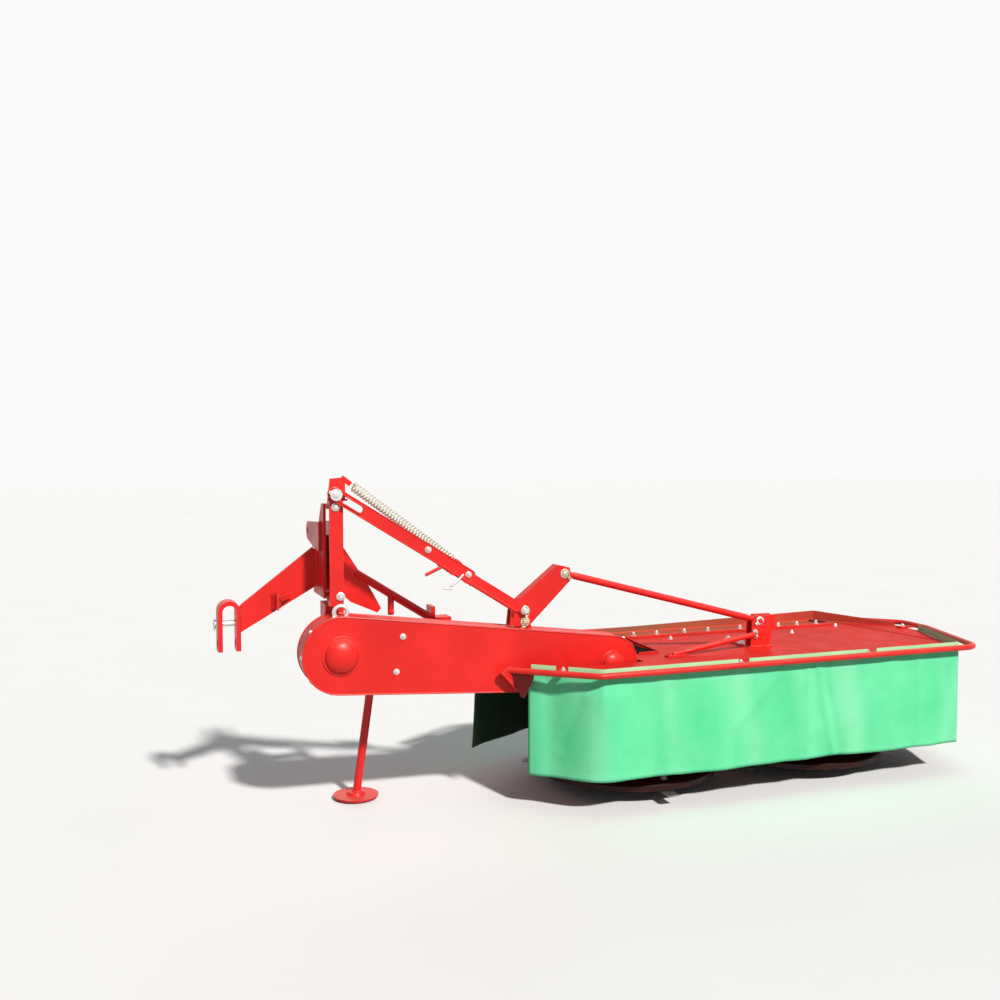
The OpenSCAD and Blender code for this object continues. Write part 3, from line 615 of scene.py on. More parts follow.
END_FADE = 70.0
FLARE_RUN = 110.0
CORNER_R = 150.0
SKIRT_ROWS = 32
CLOTH = 0.0028
STITCH = [(0.0002, 0), (0.0007, 0.0008), (0.0007, 0.0032), (0.0002, 0.0040)]


def along(pts, n):
    """n + 1 points spread evenly along a polyline, with the running length of each."""
    lens = [0.0]
    for a, b in zip(pts, pts[1:]):
        lens.append(lens[-1] + (b - a).length)
    out, k = [], 0
    for i in range(n + 1):
        s = lens[-1] * i / n
        while k < len(pts) - 2 and lens[k + 1] < s:
            k += 1
        t = (s - lens[k]) / max(lens[k + 1] - lens[k], 1e-9)
        out.append((pts[k] + (pts[k + 1] - pts[k]) * min(max(t, 0.0), 1.0), s))
    return out, lens[-1]


def skirt(name, pts, node, seams, seed, flare=0.0):
    """Panel hung from the cover edge: sharp at the cover's corners, rounding out below.

    flare is how far its last end spreads at the hem, in mm.
    """
    sharp = offset_line(pts, 2.0)
    soft = bent(sharp, CORNER_R, 12)
    cols = max(20, round(along(sharp, 1)[1] / 10.0))
    top, run = along(sharp, cols)
    low, _ = along(soft, cols)
    rows = SKIRT_ROWS
    turn_s = (sharp[1] - sharp[0]).length
    bm = bmesh.new()
    uvl = bm.loops.layers.uv.new("cloth")
    grid, normals = [], []
    for i in range(cols + 1):
        a, b = low[max(i - 1, 0)][0], low[min(i + 1, cols)][0]
        d = (b - a).normalized()
        n = Vector((d.y, -d.x))
        normals.append(n)
        s = top[i][1]
        col = []
        for j in range(rows + 1):
            t = j / rows
            ease = min(1.0, 1.6 * t)
            ease = ease * ease * (3 - 2 * ease)
            p = top[i][0] + (low[i][0] - top[i][0]) * ease
            off = fold(s, t, seed, seams) + (0.7 if j >= rows - 1 else 0.0)
            off += sum(crease(s - turn_s, t, row) for row in CREASES.get(name, ()))
            off *= min(1.0, s / END_FADE, (run - s) / END_FADE)
            z = COVER_Z - 1 - t * (SKIRT_H - 1) + 0.8 * t * math.sin(s / 170.0 + seed)
            p = p + n * off + d * flare * t * t * max(0.0, 1 - (run - s) / FLARE_RUN) ** 2
            col.append(bm.verts.new(at(p.x, p.y, z)))
        grid.append(col)
    for i in range(cols):
        for j in range(rows):
            f = bm.faces.new((grid[i][j], grid[i][j + 1], grid[i + 1][j + 1], grid[i + 1][j]))
            f.smooth = True
            for lp, (a, b) in zip(f.loops, ((i, j), (i, j + 1), (i + 1, j + 1), (i + 1, j))):
                lp[uvl].uv = (top[a][1] / 1000, (1 - b / rows) * SKIRT_H / 1000)
    bm.normal_update()
    me = mesh_of(name, bm)
    ob = place(name, me)
    me.materials.append(CANVAS)
    # Second slot, for the cloth's inner face: the dark green of painted shade
    me.materials.append(CANVAS_IN_SHADED)
    sol = ob.modifiers.new("cloth_thickness", "SOLIDIFY")
    sol.thickness = CLOTH
    sol.offset = -1.0
    sol.material_offset = 1
    sol.material_offset_rim = 0
    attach(ob, "cutter")
    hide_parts(node)
    # Stitches along both edges of each lapped seam
    bs = bmesh.new()
    for sx in seams:
        for ds in (-10, 10):
            i = min(range(cols + 1), key=lambda k: abs(top[k][1] - sx - ds))
            lift = Vector((normals[i].x, normals[i].y, 0)) * 0.0003
            for j in range(1, rows * 2 - 1):
                v = [me.vertices[i * (rows + 1) + q].co for q in (j // 2, j // 2 + 1)]
                d = (v[1] - v[0]).normalized()
                c = v[0] + (v[1] - v[0]) * (0.5 * (j % 2)) + lift
                lathe(bs, c, d, STITCH, 6)
    st = piece(name + "_stitching", bs, THREAD, "cutter")


COVER_REAR = [(-545, -222), (-300, -430), (1348, -430)]
COVER_RIGHT = [(1348, -430), (1490, -20), (1490, 130), (1220, 395)]
COVER_FRONT = [(1220, 395), (-290, 395), (-590, 190)]
# The cover's slanting left end: its length, and how far from the tip the skirt and its hem begin
SLANT = math.hypot(245, 208)
SKIRT_IN = 28.0
HEM_IN = 40.0


def from_tip(mm):
    """The rear edge of the cover without its first mm."""
    return [(-545 + 245 * mm / SLANT, -222 - 208 * mm / SLANT), *COVER_REAR[1:]]


corner = SLANT - SKIRT_IN
rear_seams = [corner + 273, corner + 899, corner + 1443]
skirt("skirt_cloth_rear", from_tip(SKIRT_IN), "skirt_rear", rear_seams, 0.6)
skirt("skirt_cloth_outer", COVER_RIGHT, "skirt_outer", [442, 640], 2.2)
skirt("skirt_cloth_front", COVER_FRONT, "skirt_front", [430, 980, 1510], 4.1, flare=26.0)

HEM_H = 27.0
HEM_GAP = 17.0
# Section of the folded hem in mm: outward and up
HEM_SECTION = ((0.0, 0.2), (0.0, HEM_H - 1.2), (1.2, HEM_H), (2.6, HEM_H - 1.2), (3.0, 0.2))


def hem(name, pts, gaps):
    """Standing hem of the skirt above the cover edge: folded double, split at each stay of the rail."""
    line = resample(offset_line(pts, 0.6), 12.0)
    bm = bmesh.new()
    uvl = bm.loops.layers.uv.new("cloth")
    part = []

    def close():
        if len(part) > 2:
            loops = []
            for p, s, n in part:
                w = 0.8 * math.sin(s / 37.0)
                loops.append([bm.verts.new(at(p.x + n.x * (o + w), p.y + n.y * (o + w), COVER_Z + z))
                              for o, z in HEM_SECTION])
            for a, b in zip(loops, loops[1:]):
                ring_faces(bm, a, b)
            bm.faces.new(loops[0][::-1])
            bm.faces.new(loops[-1])
        part.clear()

    for row in line:
        if any(abs(row[1] - g) < HEM_GAP for g in gaps):
            close()
        else:
            part.append(row)
    close()
    for f in bm.faces:
        for lp in f.loops:
            lp[uvl].uv = (lp.vert.co.x + lp.vert.co.y, lp.vert.co.z + 0.2)
    piece(name, bm, HEM, "cutter", smooth=50)


stays = (SLANT / 2, SLANT + 600, SLANT + 1200)
hem("hem_rear", from_tip(HEM_IN), [s - HEM_IN for s in stays])
hem("hem_outer", COVER_RIGHT[:2], [0])


# Relief spring: wound wire with hooked ends
WIRE_R = 0.0031
COIL_R = 0.0155
TURNS = 36
TURN_STEPS = 14
HOOK = 0.014
HOOK_STEPS = 12


def spring():
    top = pin_at(SPRING_TOP, SPRING_Y)
    low = pin_at(SPRING_LOW, SPRING_Y)
    axis = (low - top).normalized()
    length = (low - top).length
    v = axis.cross(FRONT).normalized()

    def hook(end, inward, a):
        return end + inward * (0.012 - 0.012 * math.cos(a)) + v * (0.011 * math.sin(a))

    turns = [1.25 * k / HOOK_STEPS for k in range(HOOK_STEPS + 1)]
    pts = [hook(top, axis, math.pi * (0.15 + t)) for t in turns]
    n = TURNS * TURN_STEPS
    for k in range(n + 1):
        a = math.tau * k / TURN_STEPS
        s = HOOK + (length - 2 * HOOK) * k / n
        pts.append(top + axis * s + COIL_R * (v * math.cos(a) + FRONT * math.sin(a)))
    pts += [hook(low, -axis, math.pi * (1.4 - t)) for t in turns]
    bm = bmesh.new()
    sweep(bm, pts, WIRE_R, 8)
    ob = piece("relief_spring_coil", bm, ZINC, "swing_frame", ["relief_spring"], smooth=70)
    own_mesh(ob)


spring()


# Lift link: rims, bolts, lock pin and the collars of its rod
def on_link(u, v, y):
    """Point u mm along the link from the slot pin and v mm across it, at depth y."""
    c, s = math.cos(LINK_ANGLE), math.sin(LINK_ANGLE)
    return at(SLOT_PIN[0] + u * c - v * s, y, SLOT_PIN[1] + u * s + v * c)


def link_arc(u, r, start, end, y):
    """Points each 15 degrees round a place u mm along the link."""
    angles = [math.radians(a) for a in range(start, end + 1, 15)]
    return [on_link(u + r * math.cos(a), r * math.sin(a), y) for a in angles]


LINK_REAR = -160.0
SLOT_R = 14.5
SLOT_LEN = 104
LINK_HALF = 23.6
BAR_END = 606
bm = bmesh.new()
rim = link_arc(0, SLOT_R, 90, 270, LINK_REAR - 1.5) + link_arc(SLOT_LEN, SLOT_R, -90, 90, LINK_REAR - 1.5)
sweep(bm, rim, 0.0032, 8, closed=True)
edge = [on_link(BAR_END, LINK_HALF, LINK_REAR - 0.5), *link_arc(-5, LINK_HALF, 90, 270, LINK_REAR - 0.5),
        on_link(BAR_END, -LINK_HALF, LINK_REAR - 0.5)]
sweep(bm, edge, 0.0022, 8)
end = [on_link(BAR_END + 6, v, LINK_REAR - 0.4) for v in (-22, -8, 8, 22)]
sweep(bm, smooth_path(end, 0.004), 0.003, 8)
piece("link_slot_rim", bm, RED, "lift_link")

bm = bmesh.new()
for u, v in ((405, 4), (592, 4)):
    hex_bolt(bm, on_link(u, v, LINK_REAR), BACK, 0.015, 0.008)
# Lock pin with its cross bar, and the washer of the link's lower eye
pin0 = on_link(572, -8, LINK_REAR - 6)
pin1 = on_link(545, -82, LINK_REAR - 16)
sweep(bm, smooth_path([pin0, (pin0 + pin1) / 2 + BACK * 0.008, pin1], 0.006), 0.0048, 10)
cross = (on_link(20, 9, 0) - on_link(0, 0, 0)).normalized() * 0.019
sweep(bm, [pin1 - cross, pin1 + cross], 0.0046, 10)
lathe(bm, on_link(LINK_LEN, 0, LINK_REAR - 0.2), BACK,
      [(0.0172, 0), (0.0172, 0.0024), (0.0162, 0.0030), (0.0115, 0.0030)], 28)
piece("link_fasteners", bm, BRIGHT, "lift_link")

bm = bmesh.new()
ROD_Y = -167.2
ROD_COLLAR = [(0.0071, 0), (0.0090, 0.001), (0.0090, 0.007), (0.0071, 0.008)]
# Rounded tips of the rod and of its handle
for (u, v), (du, dv), r in (((464, -22), (-1, 0), 7.0), ((445, -81), (-39, -59), 6.4)):
    a = on_link(u, v, ROD_Y)
    tip = [(r * 0.001, 0), (r * 0.00085, 0.0014), (r * 0.0005, 0.0026), (0, 0.003)]
    lathe(bm, a, on_link(u + du, v + dv, ROD_Y) - a, tip, 16)
for u in (505, 612, 806):
    a = on_link(u, -22, ROD_Y)
    lathe(bm, a, on_link(u + 10, -22, ROD_Y) - a, ROD_COLLAR, 16)
piece("link_rod_collars", bm, RED, "lift_link")


# Lever pins: washers, hairpins and rounded pin ends
HAIRPIN_WIRE = 0.0019


def hairpin(bm, p, axis, size=0.030, turn=0.6):
    """R clip: straight leg through the pin, waved leg round it, a coil eye at the bend."""
    u, v, w = frame_of(axis)
    d = u * math.cos(turn) + v * math.sin(turn)
    e = w.cross(d)
    leg = [p - d * size * 0.55, p + d * size * 0.75]
    eye_c = p + d * size * 0.88 + e * size * 0.12
    loop = arc(eye_c, size * 0.16, -math.pi * 0.6, math.pi * 1.2, 12, d, e)
    waved = ((0.62, 0.30), (0.35, 0.36), (0.0, 0.42), (-0.22, 0.24), (-0.5, 0.34))
    wave = [p + d * size * a + e * size * b for a, b in waved]
    sweep(bm, smooth_path([*leg, *loop[2:], *wave], 0.004), HAIRPIN_WIRE, 8)


CHEEK_REAR = -146.0
CHEEK_OUT = -100.0
bm = bmesh.new()
LEVER_WASHER = [(0.0102, 0), (0.0188, 0.0), (0.0188, 0.0026), (0.018, 0.003), (0.0102, 0.003)]
for pin, turn in ((LEVER_PIN, 0.9), (STRUT_PIN, 2.2)):
    c = pin_at(pin, CHEEK_REAR)
    lathe(bm, c, BACK, LEVER_WASHER, 28)
    hairpin(bm, c + BACK * 0.0055, BACK, turn=turn)
    lathe(bm, c + BACK * 0.008, BACK, [(0.0098, 0), (0.0098, 0.0004), (0.0078, 0.0014)], 20)
hairpin(bm, pin_at(LINK_PIN, -168.0), BACK, turn=1.5)
pin_end = [(0.0098, 0.003), (0.0098, 0.0034), (0.0076, 0.0048)]
for pin in (LEVER_PIN, LINK_PIN, STRUT_PIN):
    lathe(bm, pin_at(pin, CHEEK_OUT + 5), FRONT, pin_end, 20)
piece("lever_hairpins", bm, ZINC, "lift_lever")


# Weld beads where the lever's back plate meets its cheeks
def bead(bm, a, b, r=0.003):
    """Weld bead from a to b, a little uneven along its length."""
    n = max(3, int((b - a).length / 0.006))
    pts = [a + (b - a) * i / n for i in range(n + 1)]
    radii = [r * (0.86 + 0.22 * random.random()) for _ in pts]
    sweep(bm, pts, r, 8, radii=radii)


def lever_pt(dx, dz, y):
    return at(LEVER_PIN[0] + dx, y, LEVER_PIN[1] + dz)


bm = bmesh.new()
for y in (CHEEK_REAR + 8.6, CHEEK_OUT - 8.6):
    for a, b in (((-55, 45), (-24, 88)), ((-24, 88), (134, 214))):
        bead(bm, lever_pt(*a, y), lever_pt(*b, y))
piece("lever_welds", bm, RED, "lift_lever")

# Swing post: clip of the slot pin, plate bolts, the bearing carrier's grease nipple, weld beads
bm = bmesh.new()
c = pin_at(SLOT_PIN, LINK_REAR - 10)
hairpin(bm, c + BACK * 0.0022, BACK, 0.026, turn=-0.5)
lathe(bm, c + BACK * 0.004, BACK, [(0.0108, 0), (0.0108, 0.0004), (0.0085, 0.0016)], 20)
for x, z in ((-1238, 1159), (-1222, 831)):
    hex_bolt(bm, at(x, -142, z), BACK, 0.019, 0.010)
NIPPLE = [(0.0055, 0), (0.0055, 0.004), (0.0032, 0.005), (0.0032, 0.009), (0.0042, 0.0105),
          (0.0042, 0.0135), (0.0018, 0.016)]
lathe(bm, at(-1242, -40, 668), UP, NIPPLE, 12)
piece("post_fasteners", bm, BRIGHT, "swing_frame")

bm = bmesh.new()
x0 = POST_X - 25
x1 = POST_X + 25
for z in (814.6, 1165.4):
    bead(bm, at(x0, -129.4, z), at(x1, -129.4, z))
bead(bm, at(x0 - 4, -142.4, 1184), at(x1 + 16, -142.4, 1184), 0.0034)
for x in (INPUT[0] - 35.4, INPUT[0] + 35.4):
    bead(bm, at(x, -70, 662), at(x, 15, 662), 0.004)
piece("post_welds", bm, RED, "swing_frame")

# Hitch: linch pin with its ring, washers of the cross pin, cap of the swing pin, weld beads of the arms
LINCH_RING_R = 0.021
PIN_AT = (120, 713)
bm = bmesh.new()
c = at(HITCH_X - 50, *PIN_AT)
sweep(bm, [c + UP * 0.016, c - UP * 0.018], 0.004, 10)
ring_pts = arc(c + Vector((-0.003, 0, -0.003)), LINCH_RING_R, math.pi / 2 - 0.2, 5 * math.pi / 2 - 0.7, 28,
               FRONT, -UP)
sweep(bm, ring_pts, 0.0021, 8)
CROSS_WASHER = [(0.0114, 0), (0.0195, 0), (0.0195, 0.0024), (0.0186, 0.003), (0.0114, 0.003)]
for s in (1, -1):
    lathe(bm, at(HITCH_X + 42.2 * s, *PIN_AT), Vector((s, 0, 0)), CROSS_WASHER, 24)
SWING_CAP = [(0.0238, 0), (0.0238, 0.002), (0.019, 0.005), (0, 0.0062)]
lathe(bm, at(POST_X, -100, 1194), UP, SWING_CAP, 28)
piece("hitch_pins", bm, BRIGHT, "hitch")

bm = bmesh.new()
arm_root = -1268.3
arm_tip = HITCH_X + 42.4
arm_faces = (84.4, 97.6)
for y in arm_faces:
    bead(bm, at(arm_root, y, 849), at(arm_root, y, 1001), 0.0042)
    bead(bm, at(arm_tip, y, 686), at(arm_tip, y, 782), 0.0042)
for y in arm_faces:
    bead(bm, at(-1211.7, y, 849), at(-1211.7, y, 996), 0.0042)
for x in (-1268.4, -1211.6):
    bead(bm, at(x, -28, 990), at(x, 60, 990), 0.003)
piece("hitch_welds", bm, RED, "hitch")

# Folded gusset on the left arm and the upright stub under the right arm's tube
bm = bmesh.new()
root = (-1443, 84.8)
tip = (-1413, 45)
back = (-1371, 84.8)
prism(bm, [at(*root, 760), at(*tip, 770), at(*tip, 818), at(*root, 823)], Vector((0.004, 0.003, 0)))
prism(bm, [at(*tip, 818), at(*back, 823), at(*back, 800), at(*tip, 797)], Vector((0.0034, -0.0036, 0)))
piece("arm_gusset", bm, RED, "hitch", bevel=0.0012)
bm = bmesh.new()
c = at(-975, 91, 716)
lathe(bm, c, UP, [(0.010, 0), (0.0125, 0.002), (0.0125, 0.075), (0.010, 0.078)], 24)
stub_knob = [(0.0105, 0), (0.0105, 0.004), (0.008, 0.007), (0, 0.008)]
lathe(bm, c + UP * 0.012 + BACK * 0.011, BACK, stub_knob, 18)
piece("arm_stub", bm, RED, "hitch")

# Belt housing: face bolts, rim screws, domed hub flanges and rolled rims
HOUSING_REAR = -200.0
INPUT_R = 140.0
DRIVEN_R = 106.0
bm = bmesh.new()
for x, z in ((-1003.5, 680.4), (-1028.8, 551.2)):
    hex_bolt(bm, at(x, HOUSING_REAR, z), BACK, 0.014, 0.007)
for wheel, r, angles in ((INPUT, INPUT_R, (100, 140, 180, 220, 255)),
                         (DRIVEN, DRIVEN_R, (-80, -30, 20, 60))):
    for a in angles:
        d = Vector((math.cos(math.radians(a)), 0, math.sin(math.radians(a))))
        hex_bolt(bm, pin_at(wheel, HOUSING_REAR + 16) + d * r * 0.001, d, 0.010, 0.005, stud=0)
piece("housing_bolts", bm, BRIGHT, "housing")

# Shares of the radius with heights: the flange's in m, the dome's in mm
FLANGE = ((0.99, -0.0030), (1.02, -0.0028), (1.02, 0.0002), (0.99, 0.0012), (0.94, 0.0012), (0.92, 0.0004))
DOME = ((0.888, 4.9), (0.876, 9.0), (0.845, 13.2), (0.795, 17.6), (0.725, 22.0), (0.630, 26.2),
        (0.510, 30.0), (0.370, 33.0), (0.200, 35.2), (0.0, 36.2))
bm = bmesh.new()
for wheel, r, k in ((INPUT, 71.0, 1.0), (DRIVEN, 49.7, 0.7)):
    c = pin_at(wheel, HOUSING_REAR)
    lathe(bm, c + BACK * 0.0038 * k, BACK, [(r * 0.001 * a, h) for a, h in FLANGE], 64)
    lathe(bm, c, BACK, [(r * 0.001 * a, 0.001 * h * k + 0.0005) for a, h in DOME], 64)
piece("hub_flanges", bm, RED, "housing")

ARC_STEPS = 36


def belt_edge(r_add, y):
    """Points round the housing outline, r_add mm outside it."""
    span = math.hypot(DRIVEN[0] - INPUT[0], DRIVEN[1] - INPUT[1])
    ba = math.atan2(DRIVEN[1] - INPUT[1], DRIVEN[0] - INPUT[0])
    phi = math.acos((INPUT_R - DRIVEN_R) / span)
    pts = []
    for c, r, a0, a1 in ((INPUT, INPUT_R + r_add, ba + phi, ba + math.tau - phi),
                         (DRIVEN, DRIVEN_R + r_add, ba - phi, ba + phi)):
        for i in range(ARC_STEPS + 1):
            a = a0 + (a1 - a0) * i / ARC_STEPS
            pts.append(at(c[0] + r * math.cos(a), y, c[1] + r * math.sin(a)))
    return pts


bm = bmesh.new()
sweep(bm, belt_edge(1.0, -199.6), 0.0032, 8, closed=True)
sweep(bm, belt_edge(-0.2, -86.2), 0.0028, 8, closed=True)
piece("housing_rim", bm, RED, "housing")

# Cutter: bolts of the joint strip, cover, strut bracket and rail stays, and the clip of the bracket pin
JOINT_Y = 252.0
JOINT_H = 9.0
bm = bmesh.new()
for x in (-60, 60, 170, 285, 425, 546, 715, 815, 922, 1023, 1130):
    hex_bolt(bm, at(x, JOINT_Y, COVER_Z + JOINT_H), UP, 0.013, 0.011)
for x, y in ((310, 170), (1205, 205), (905, 120)):
    hex_bolt(bm, at(x, y, COVER_Z), UP, 0.012, 0.007)
for dx in (-38, 50):
    for y in (-62, 40):
        hex_bolt(bm, at(BRACKET_PIN[0] + dx, y, COVER_Z + 8), UP, 0.018, 0.010)
for p in ((300, -412), (900, -412), (1472, 60), (-410, -308)):
    hex_bolt(bm, at(*p, COVER_Z + 7), UP, 0.014, 0.007)
hairpin(bm, pin_at(BRACKET_PIN, CHEEK_REAR - 4.4), BACK, 0.026, turn=0.4)
lathe(bm, pin_at(BRACKET_PIN, CHEEK_REAR), BACK,
      [(0.0103, 0), (0.0180, 0), (0.0180, 0.0026), (0.0172, 0.0032), (0.0103, 0.0032)], 28)
for dz in (-46, -62):
    hex_bolt(bm, at(BRACKET_PIN[0] - 22, CHEEK_REAR, BRACKET_PIN[1] + dz), BACK, 0.014, 0.010)
piece("cutter_bolts", bm, BRIGHT, "cutter")


# Joint strip of the front sheet and the hinge straps
def on_cover(*pts):
    """Points on the cover's top."""
    return [at(x, y, COVER_Z) for x, y in pts]


bm = bmesh.new()
strip = on_cover((-230, JOINT_Y - 17), (1222, JOINT_Y - 17), (1206, JOINT_Y + 17), (-250, JOINT_Y + 17))
prism(bm, strip, UP * 0.001 * JOINT_H)
piece("cover_joint_strip", bm, COVER_RED, "cutter", bevel=0.001)
bm = bmesh.new()
for x, y, dx, dy in ((60, 330, 66, -56), (1172, 362, 48, -64)):
    bar(bm, at(x, y, COVER_Z + 3.4), at(x + dx, y + dy, COVER_Z + 3.4), 0.009, 0.006)
piece("cover_straps", bm, DARK, "cutter", bevel=0.001)

# Cut-out of the cover beside the belt housing, drawn as a flat near-black sheet of painted shade on the
# cover, with its turned-up edge
bm = bmesh.new()
prism(bm, on_cover((98, 114), (104, -86), (21, -92), (8, -70)), UP * 0.0006)
piece("cover_cut_out_painted_shade", bm, GAP_SHADE, "cutter")
bm = bmesh.new()
edge = on_cover((134, 300), (112, 120), (107, -40), (110, -96), (16, -100))
for a, b in zip(edge, edge[1:]):
    bar(bm, a, b, 0.0025, 0.010)
piece("cover_turned_edge", bm, COVER_RED, "cutter", bevel=0.001)

# Strut tube and brace tube over their rods, the brace's flattened foot and the strap at the rail's end
STRUT_Y = CHEEK_REAR + 23
s0 = pin_at(STRUT_PIN, STRUT_Y)
strut_run = pin_at(BRACKET_PIN, STRUT_Y) - s0
far = strut_run.length - 0.052
bm = bmesh.new()
tube = [(0.0119, 0.048), (0.0140, 0.052), (0.0142, 0.060), (0.0142, far - 0.008), (0.0138, far),
        (0.0119, far + 0.003)]
lathe(bm, s0, strut_run, tube, 28)
piece("strut_tube", bm, RED, "lift_strut")
BRACE_FOOT = (128, -180)
b0 = at(BRACKET_PIN[0] - 30, CHEEK_REAR - 8.3, BRACKET_PIN[1] - 54)
b1 = at(*BRACE_FOOT, COVER_Z + 8)
far = (b1 - b0).length - 0.062
bm = bmesh.new()
tube = [(0.0079, 0.004), (0.0108, 0.008), (0.0112, 0.016), (0.0112, far - 0.03), (0.0096, far),
        (0.0079, far + 0.004)]
lathe(bm, b0, b1 - b0, tube, 24)
d = Vector((b0.x - b1.x, b0.y - b1.y, 0)).normalized()
e = Vector((-d.y, d.x, 0)) * 0.017
foot = at(*BRACE_FOOT, COVER_Z)
heel = foot - d * 0.030
toe = foot + d * 0.062
prism(bm, [heel - e, toe - e * 0.6, toe + e * 0.6, heel + e], UP * 0.006)
hex_bolt(bm, foot - d * 0.017 + UP * 0.006, UP, 0.016, 0.008)
piece("brace_tube", bm, RED, "cutter", bevel=0.0008)
bm = bmesh.new()
strap = ((-598, 549), (-636, 525), (-568, 452), (-556, 459), (-619, 525), (-592, 541))
prism(bm, [at(x, -246, z) for x, z in strap], FRONT * 0.022)
piece("rail_end_strap", bm, RED, "cutter", bevel=0.001)

# Pressed creases at the cover's outer end
CREASE_STEPS = 14
bm = bmesh.new()
for a, b in (((1277, 272), (1385, -245)), ((1385, -245), (1344, -408)), ((1385, -245), (1478, -20)),
             ((1277, 272), (1216, 388))):
    a = at(*a, COVER_Z + 0.2)
    b = at(*b, COVER_Z + 0.2)
    sweep(bm, [a + (b - a) * i / CREASE_STEPS for i in range(CREASE_STEPS + 1)], 0.0026, 8)
piece("cover_creases", bm, COVER_RED, "cutter")

# Weld beads on and beside the cover
bm = bmesh.new()
for y in (-146.2, -137.8, -108.2, -99.8):
    bead(bm, at(BRACKET_PIN[0] - 42, y, COVER_Z + 8.4), at(BRACKET_PIN[0] + 48, y, COVER_Z + 8.4), 0.003)
for x in (BRACKET_PIN[0] - 50.4, BRACKET_PIN[0] + 62.4):
    bead(bm, at(x, -140, COVER_Z + 0.8), at(x, 62, COVER_Z + 0.8), 0.0032)
bead(bm, at(-230, -74, COVER_Z - 1), at(-230, 0, COVER_Z - 1), 0.003)
for x in (300, 900):
    bead(bm, at(x - 14, -448.4, COVER_Z + 5), at(x + 14, -448.4, COVER_Z + 5), 0.003)
bead(bm, at(-285, 389, COVER_Z + 0.6), at(1214, 389, COVER_Z + 0.6), 0.0028)
piece("cutter_welds", bm, RED, "cutter")

# Drums: blade bolts, top bolts, hub band with rib welds, and the ring of saucer bolts
BLADE_BOLT_R = 345.0
TOP_BOLT_R = 140.0
SAUCER_BOLT_R = 112.0
BAND = [(0.1652, -0.0035), (0.1690, 0.0), (0.1690, 0.010), (0.1652, 0.0135)]
RIB_ANGLES = [math.radians(30 + 120 * i) for i in range(3)]


def round_drum(x, r, a, z):
    return at(x + r * math.cos(a), r * math.sin(a), z)


for tag, x, body, skid, turn in (("left", 0.0, "left_rotor", "left_skid", 0.0),
                                 ("right", 830.0, "right_rotor", "right_skid", math.radians(60))):
    bm = bmesh.new()
    for a in RIB_ANGLES:
        hex_bolt(bm, round_drum(x, BLADE_BOLT_R, a + turn, 86.2), UP, 0.020, 0.009)
    for i in range(8):
        p = round_drum(x, TOP_BOLT_R, math.radians(11 + 45 * i), 405)
        hex_bolt(bm, p, UP, 0.017, 0.004, washer=False, stud=0)
    piece("drum_bolts_" + tag, bm, STEEL, body)
    bm = bmesh.new()
    lathe(bm, at(x, 0, 184), UP, BAND, 72)
    for a in RIB_ANGLES:
        d = Vector((math.cos(a), math.sin(a), 0))
        e = Vector((-math.sin(a), math.cos(a), 0))
        for s in (-1, 1):
            base = at(x, 0, 0) + d * 0.1655 + e * 0.0058 * s
            bead(bm, base + UP * 0.198, base + UP * 0.380, 0.0028)
    piece("drum_bands_" + tag, bm, MAROON, body)
    bm = bmesh.new()
    for i in range(6):
        hex_bolt(bm, round_drum(x, SAUCER_BOLT_R, math.radians(60 * i), 6.0), UP, 0.015, 0.007)
    piece("saucer_bolts_" + tag, bm, STEEL, skid)

# Parking leg: sleeve collars, lock pin, chain and foot rim
LEAN = math.radians(8.0)
LEG = Vector((math.sin(LEAN), 0, math.cos(LEAN)))
LEG_Y = 100.0


def leg_at(z):
    """Point on the leg's axis at height z."""
    return at(LEG_X + z * math.tan(LEAN), LEG_Y, z)


COLLAR = [(0.0190, -0.002), (0.0224, -0.002), (0.0262, 0.0), (0.0262, 0.012), (0.0222, 0.0136),
          (0.0190, 0.0136)]
bm = bmesh.new()
lathe(bm, leg_at(430.0) - LEG * 0.0005, LEG, COLLAR, 32, ring=True)
lathe(bm, leg_at(687.0), LEG, COLLAR, 32, ring=True)
piece("sleeve_collars", bm, RED, "swing_frame")

bm = bmesh.new()
p = leg_at(560.0)
sweep(bm, [p + BACK * 0.0225, p + BACK * 0.062], 0.0062, 12)
grip = [p + BACK * 0.060, p + BACK * 0.066 + UP * 0.006, p + BACK * 0.064 + UP * 0.030]
sweep(bm, smooth_path(grip, 0.005), 0.0052, 10)
# Retaining chain from the pin's eye to the sleeve
CHAIN_LINKS = 13
LINK_BEND = 0.0036
start = p + BACK * 0.064 + UP * 0.026
end = leg_at(680.0) + BACK * 0.0242


def hang(t):
    """Point of the hanging chain, t of the way from the pin to the sleeve."""
    return start + (end - start) * t + (BACK * 0.012 - UP * 0.030) * math.sin(math.pi * t)


for i in range(CHAIN_LINKS):
    c = hang((i + 0.5) / CHAIN_LINKS)
    u, v, w = frame_of(hang((i + 0.9) / CHAIN_LINKS) - c)
    e = u if i % 2 else v
    oval = arc(c + w * 0.0035, LINK_BEND, -math.pi / 2, math.pi / 2, 7, w, e)
    oval += arc(c - w * 0.0035, LINK_BEND, math.pi / 2, 3 * math.pi / 2, 7, w, e)
    sweep(bm, oval, 0.0011, 6, closed=True)
piece("leg_pin_and_chain", bm, BRIGHT, "swing_frame")

FOOT_RIM = [(0.0850, 0.0085), (0.0876, 0.0086), (0.0879, 0.0112), (0.0872, 0.0140), (0.0845, 0.0138)]
bm = bmesh.new()
lathe(bm, at(LEG_X, LEG_Y, 0), UP, FOOT_RIM, 64)
weld = arc(leg_at(27.0), 0.0176, 0, math.tau * 23 / 24, 24, Vector((1, 0, 0)), FRONT)
sweep(bm, weld, 0.0030, 8, closed=True)
piece("foot_rim", bm, RED, "stand")

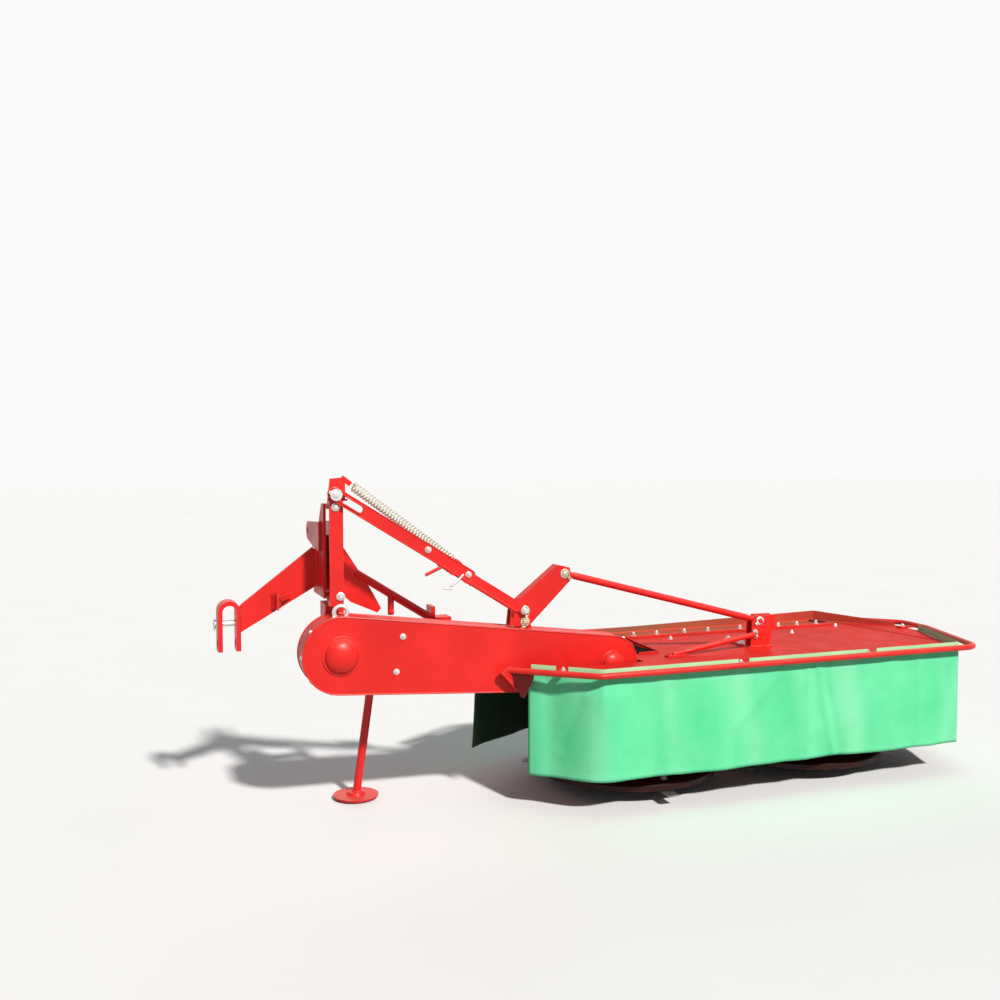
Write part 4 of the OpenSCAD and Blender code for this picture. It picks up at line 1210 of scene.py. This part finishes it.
# Input shaft: bearing seal ring and shaft end chamfer
SEAL = [(0.0445, 0.0), (0.0445, 0.004), (0.040, 0.006), (0.0205, 0.006), (0.0190, 0.003)]
SHAFT_END = [(0.0172, 0.0), (0.0168, 0.0016), (0.0148, 0.0030), (0.004, 0.0030), (0, 0.0014)]
bm = bmesh.new()
lathe(bm, pin_at(INPUT, 160), FRONT, SEAL, 48)
piece("bearing_seal", bm, STEEL, "swing_frame")
bm = bmesh.new()
lathe(bm, pin_at(INPUT, 248.5), FRONT, SHAFT_END, 36)
piece("shaft_end", bm, STEEL, "drive_shaft")

# Stage: a pale floor that gives back little of its light
FLOOR_HALF = 30.0
FLOOR_Z = -0.0015
FLOOR_BOUNCE = (0.30, 0.30, 0.295)
bm = bmesh.new()
bm.faces.new([bm.verts.new((x * FLOOR_HALF, y * FLOOR_HALF, FLOOR_Z))
              for x, y in ((-1, -1), (1, -1), (1, 1), (-1, 1))])
floor = place("floor", mesh_of("floor", bm))


def seen(g):
    """One for rays from the camera and for those that mirror or pass on to it, nought for plain light."""
    path = g.add("LightPath").outputs
    total = path["Is Camera Ray"]
    for kind in ("Is Glossy Ray", "Is Transmission Ray"):
        total = g.calc("MAXIMUM", total, path[kind])
    return total


floor_mat, g, bsdf = shader("pale_floor")
cloud = g.remap(g.noise(g.add("TexCoord").outputs["Object"], 1.2, 4.0), 0.3, 0.7)
pale = g.mix(cloud, (0.885, 0.885, 0.88), (0.865, 0.865, 0.86))
g.link(g.mix(seen(g), FLOOR_BOUNCE, pale), bsdf["Base Color"])
g.feed(bsdf["Roughness"], 0.85)
floor.data.materials.append(floor_mat)

# Light: a dim sky that is seen as white, a sun and a soft fill
world = bpy.data.worlds.new("studio")
scene.world = world
world.use_nodes = True
g = Graph(world.node_tree)
g.nodes.clear()
out = g.add("OutputWorld")
sky = g.add("Background", Color=(0.92, 0.96, 1.0, 1), Strength=0.17)
white = g.add("Background", Color=(0.95, 0.953, 0.955, 1), Strength=1.0)
blend = g.add("MixShader")
g.link(seen(g), blend.inputs[0])
g.link(sky.outputs[0], blend.inputs[1])
g.link(white.outputs[0], blend.inputs[2])
g.link(blend.outputs[0], out.inputs[0])


def lamp(name, energy, angle, colour, direction):
    """Sun lamp of a soft width in degrees that shines along the direction."""
    light = bpy.data.lights.new(name, "SUN")
    light.energy = energy
    light.angle = math.radians(angle)
    light.color = colour
    ob = place(name, light)
    ob.rotation_euler = Vector(direction).to_track_quat("-Z", "Y").to_euler()
    return ob


lamp("key", 3.8, 4.0, (1.0, 0.975, 0.94), (-0.25, 1.0, -0.92))
# The fill gives no glare on the cover
fill = lamp("fill", 1.1, 50.0, (0.95, 0.98, 1.0), (-0.2, -1.0, -0.26))
fill.visible_glossy = False

# Camera at the photograph's place
CAMERA_AT = (-2040, -4090, 1400)
YAW = math.radians(20.0)
PITCH = math.radians(3.1)
cam_data = bpy.data.cameras.new("camera")
cam_data.sensor_width = 36.0
cam_data.lens = 39.6
cam = place("camera", cam_data)
cam.location = at(*CAMERA_AT)
look = Vector((math.sin(YAW) * math.cos(PITCH), math.cos(YAW) * math.cos(PITCH), -math.sin(PITCH)))
cam.rotation_euler = look.to_track_quat("-Z", "Y").to_euler()
scene.camera = cam
scene.view_settings.view_transform = "Standard"
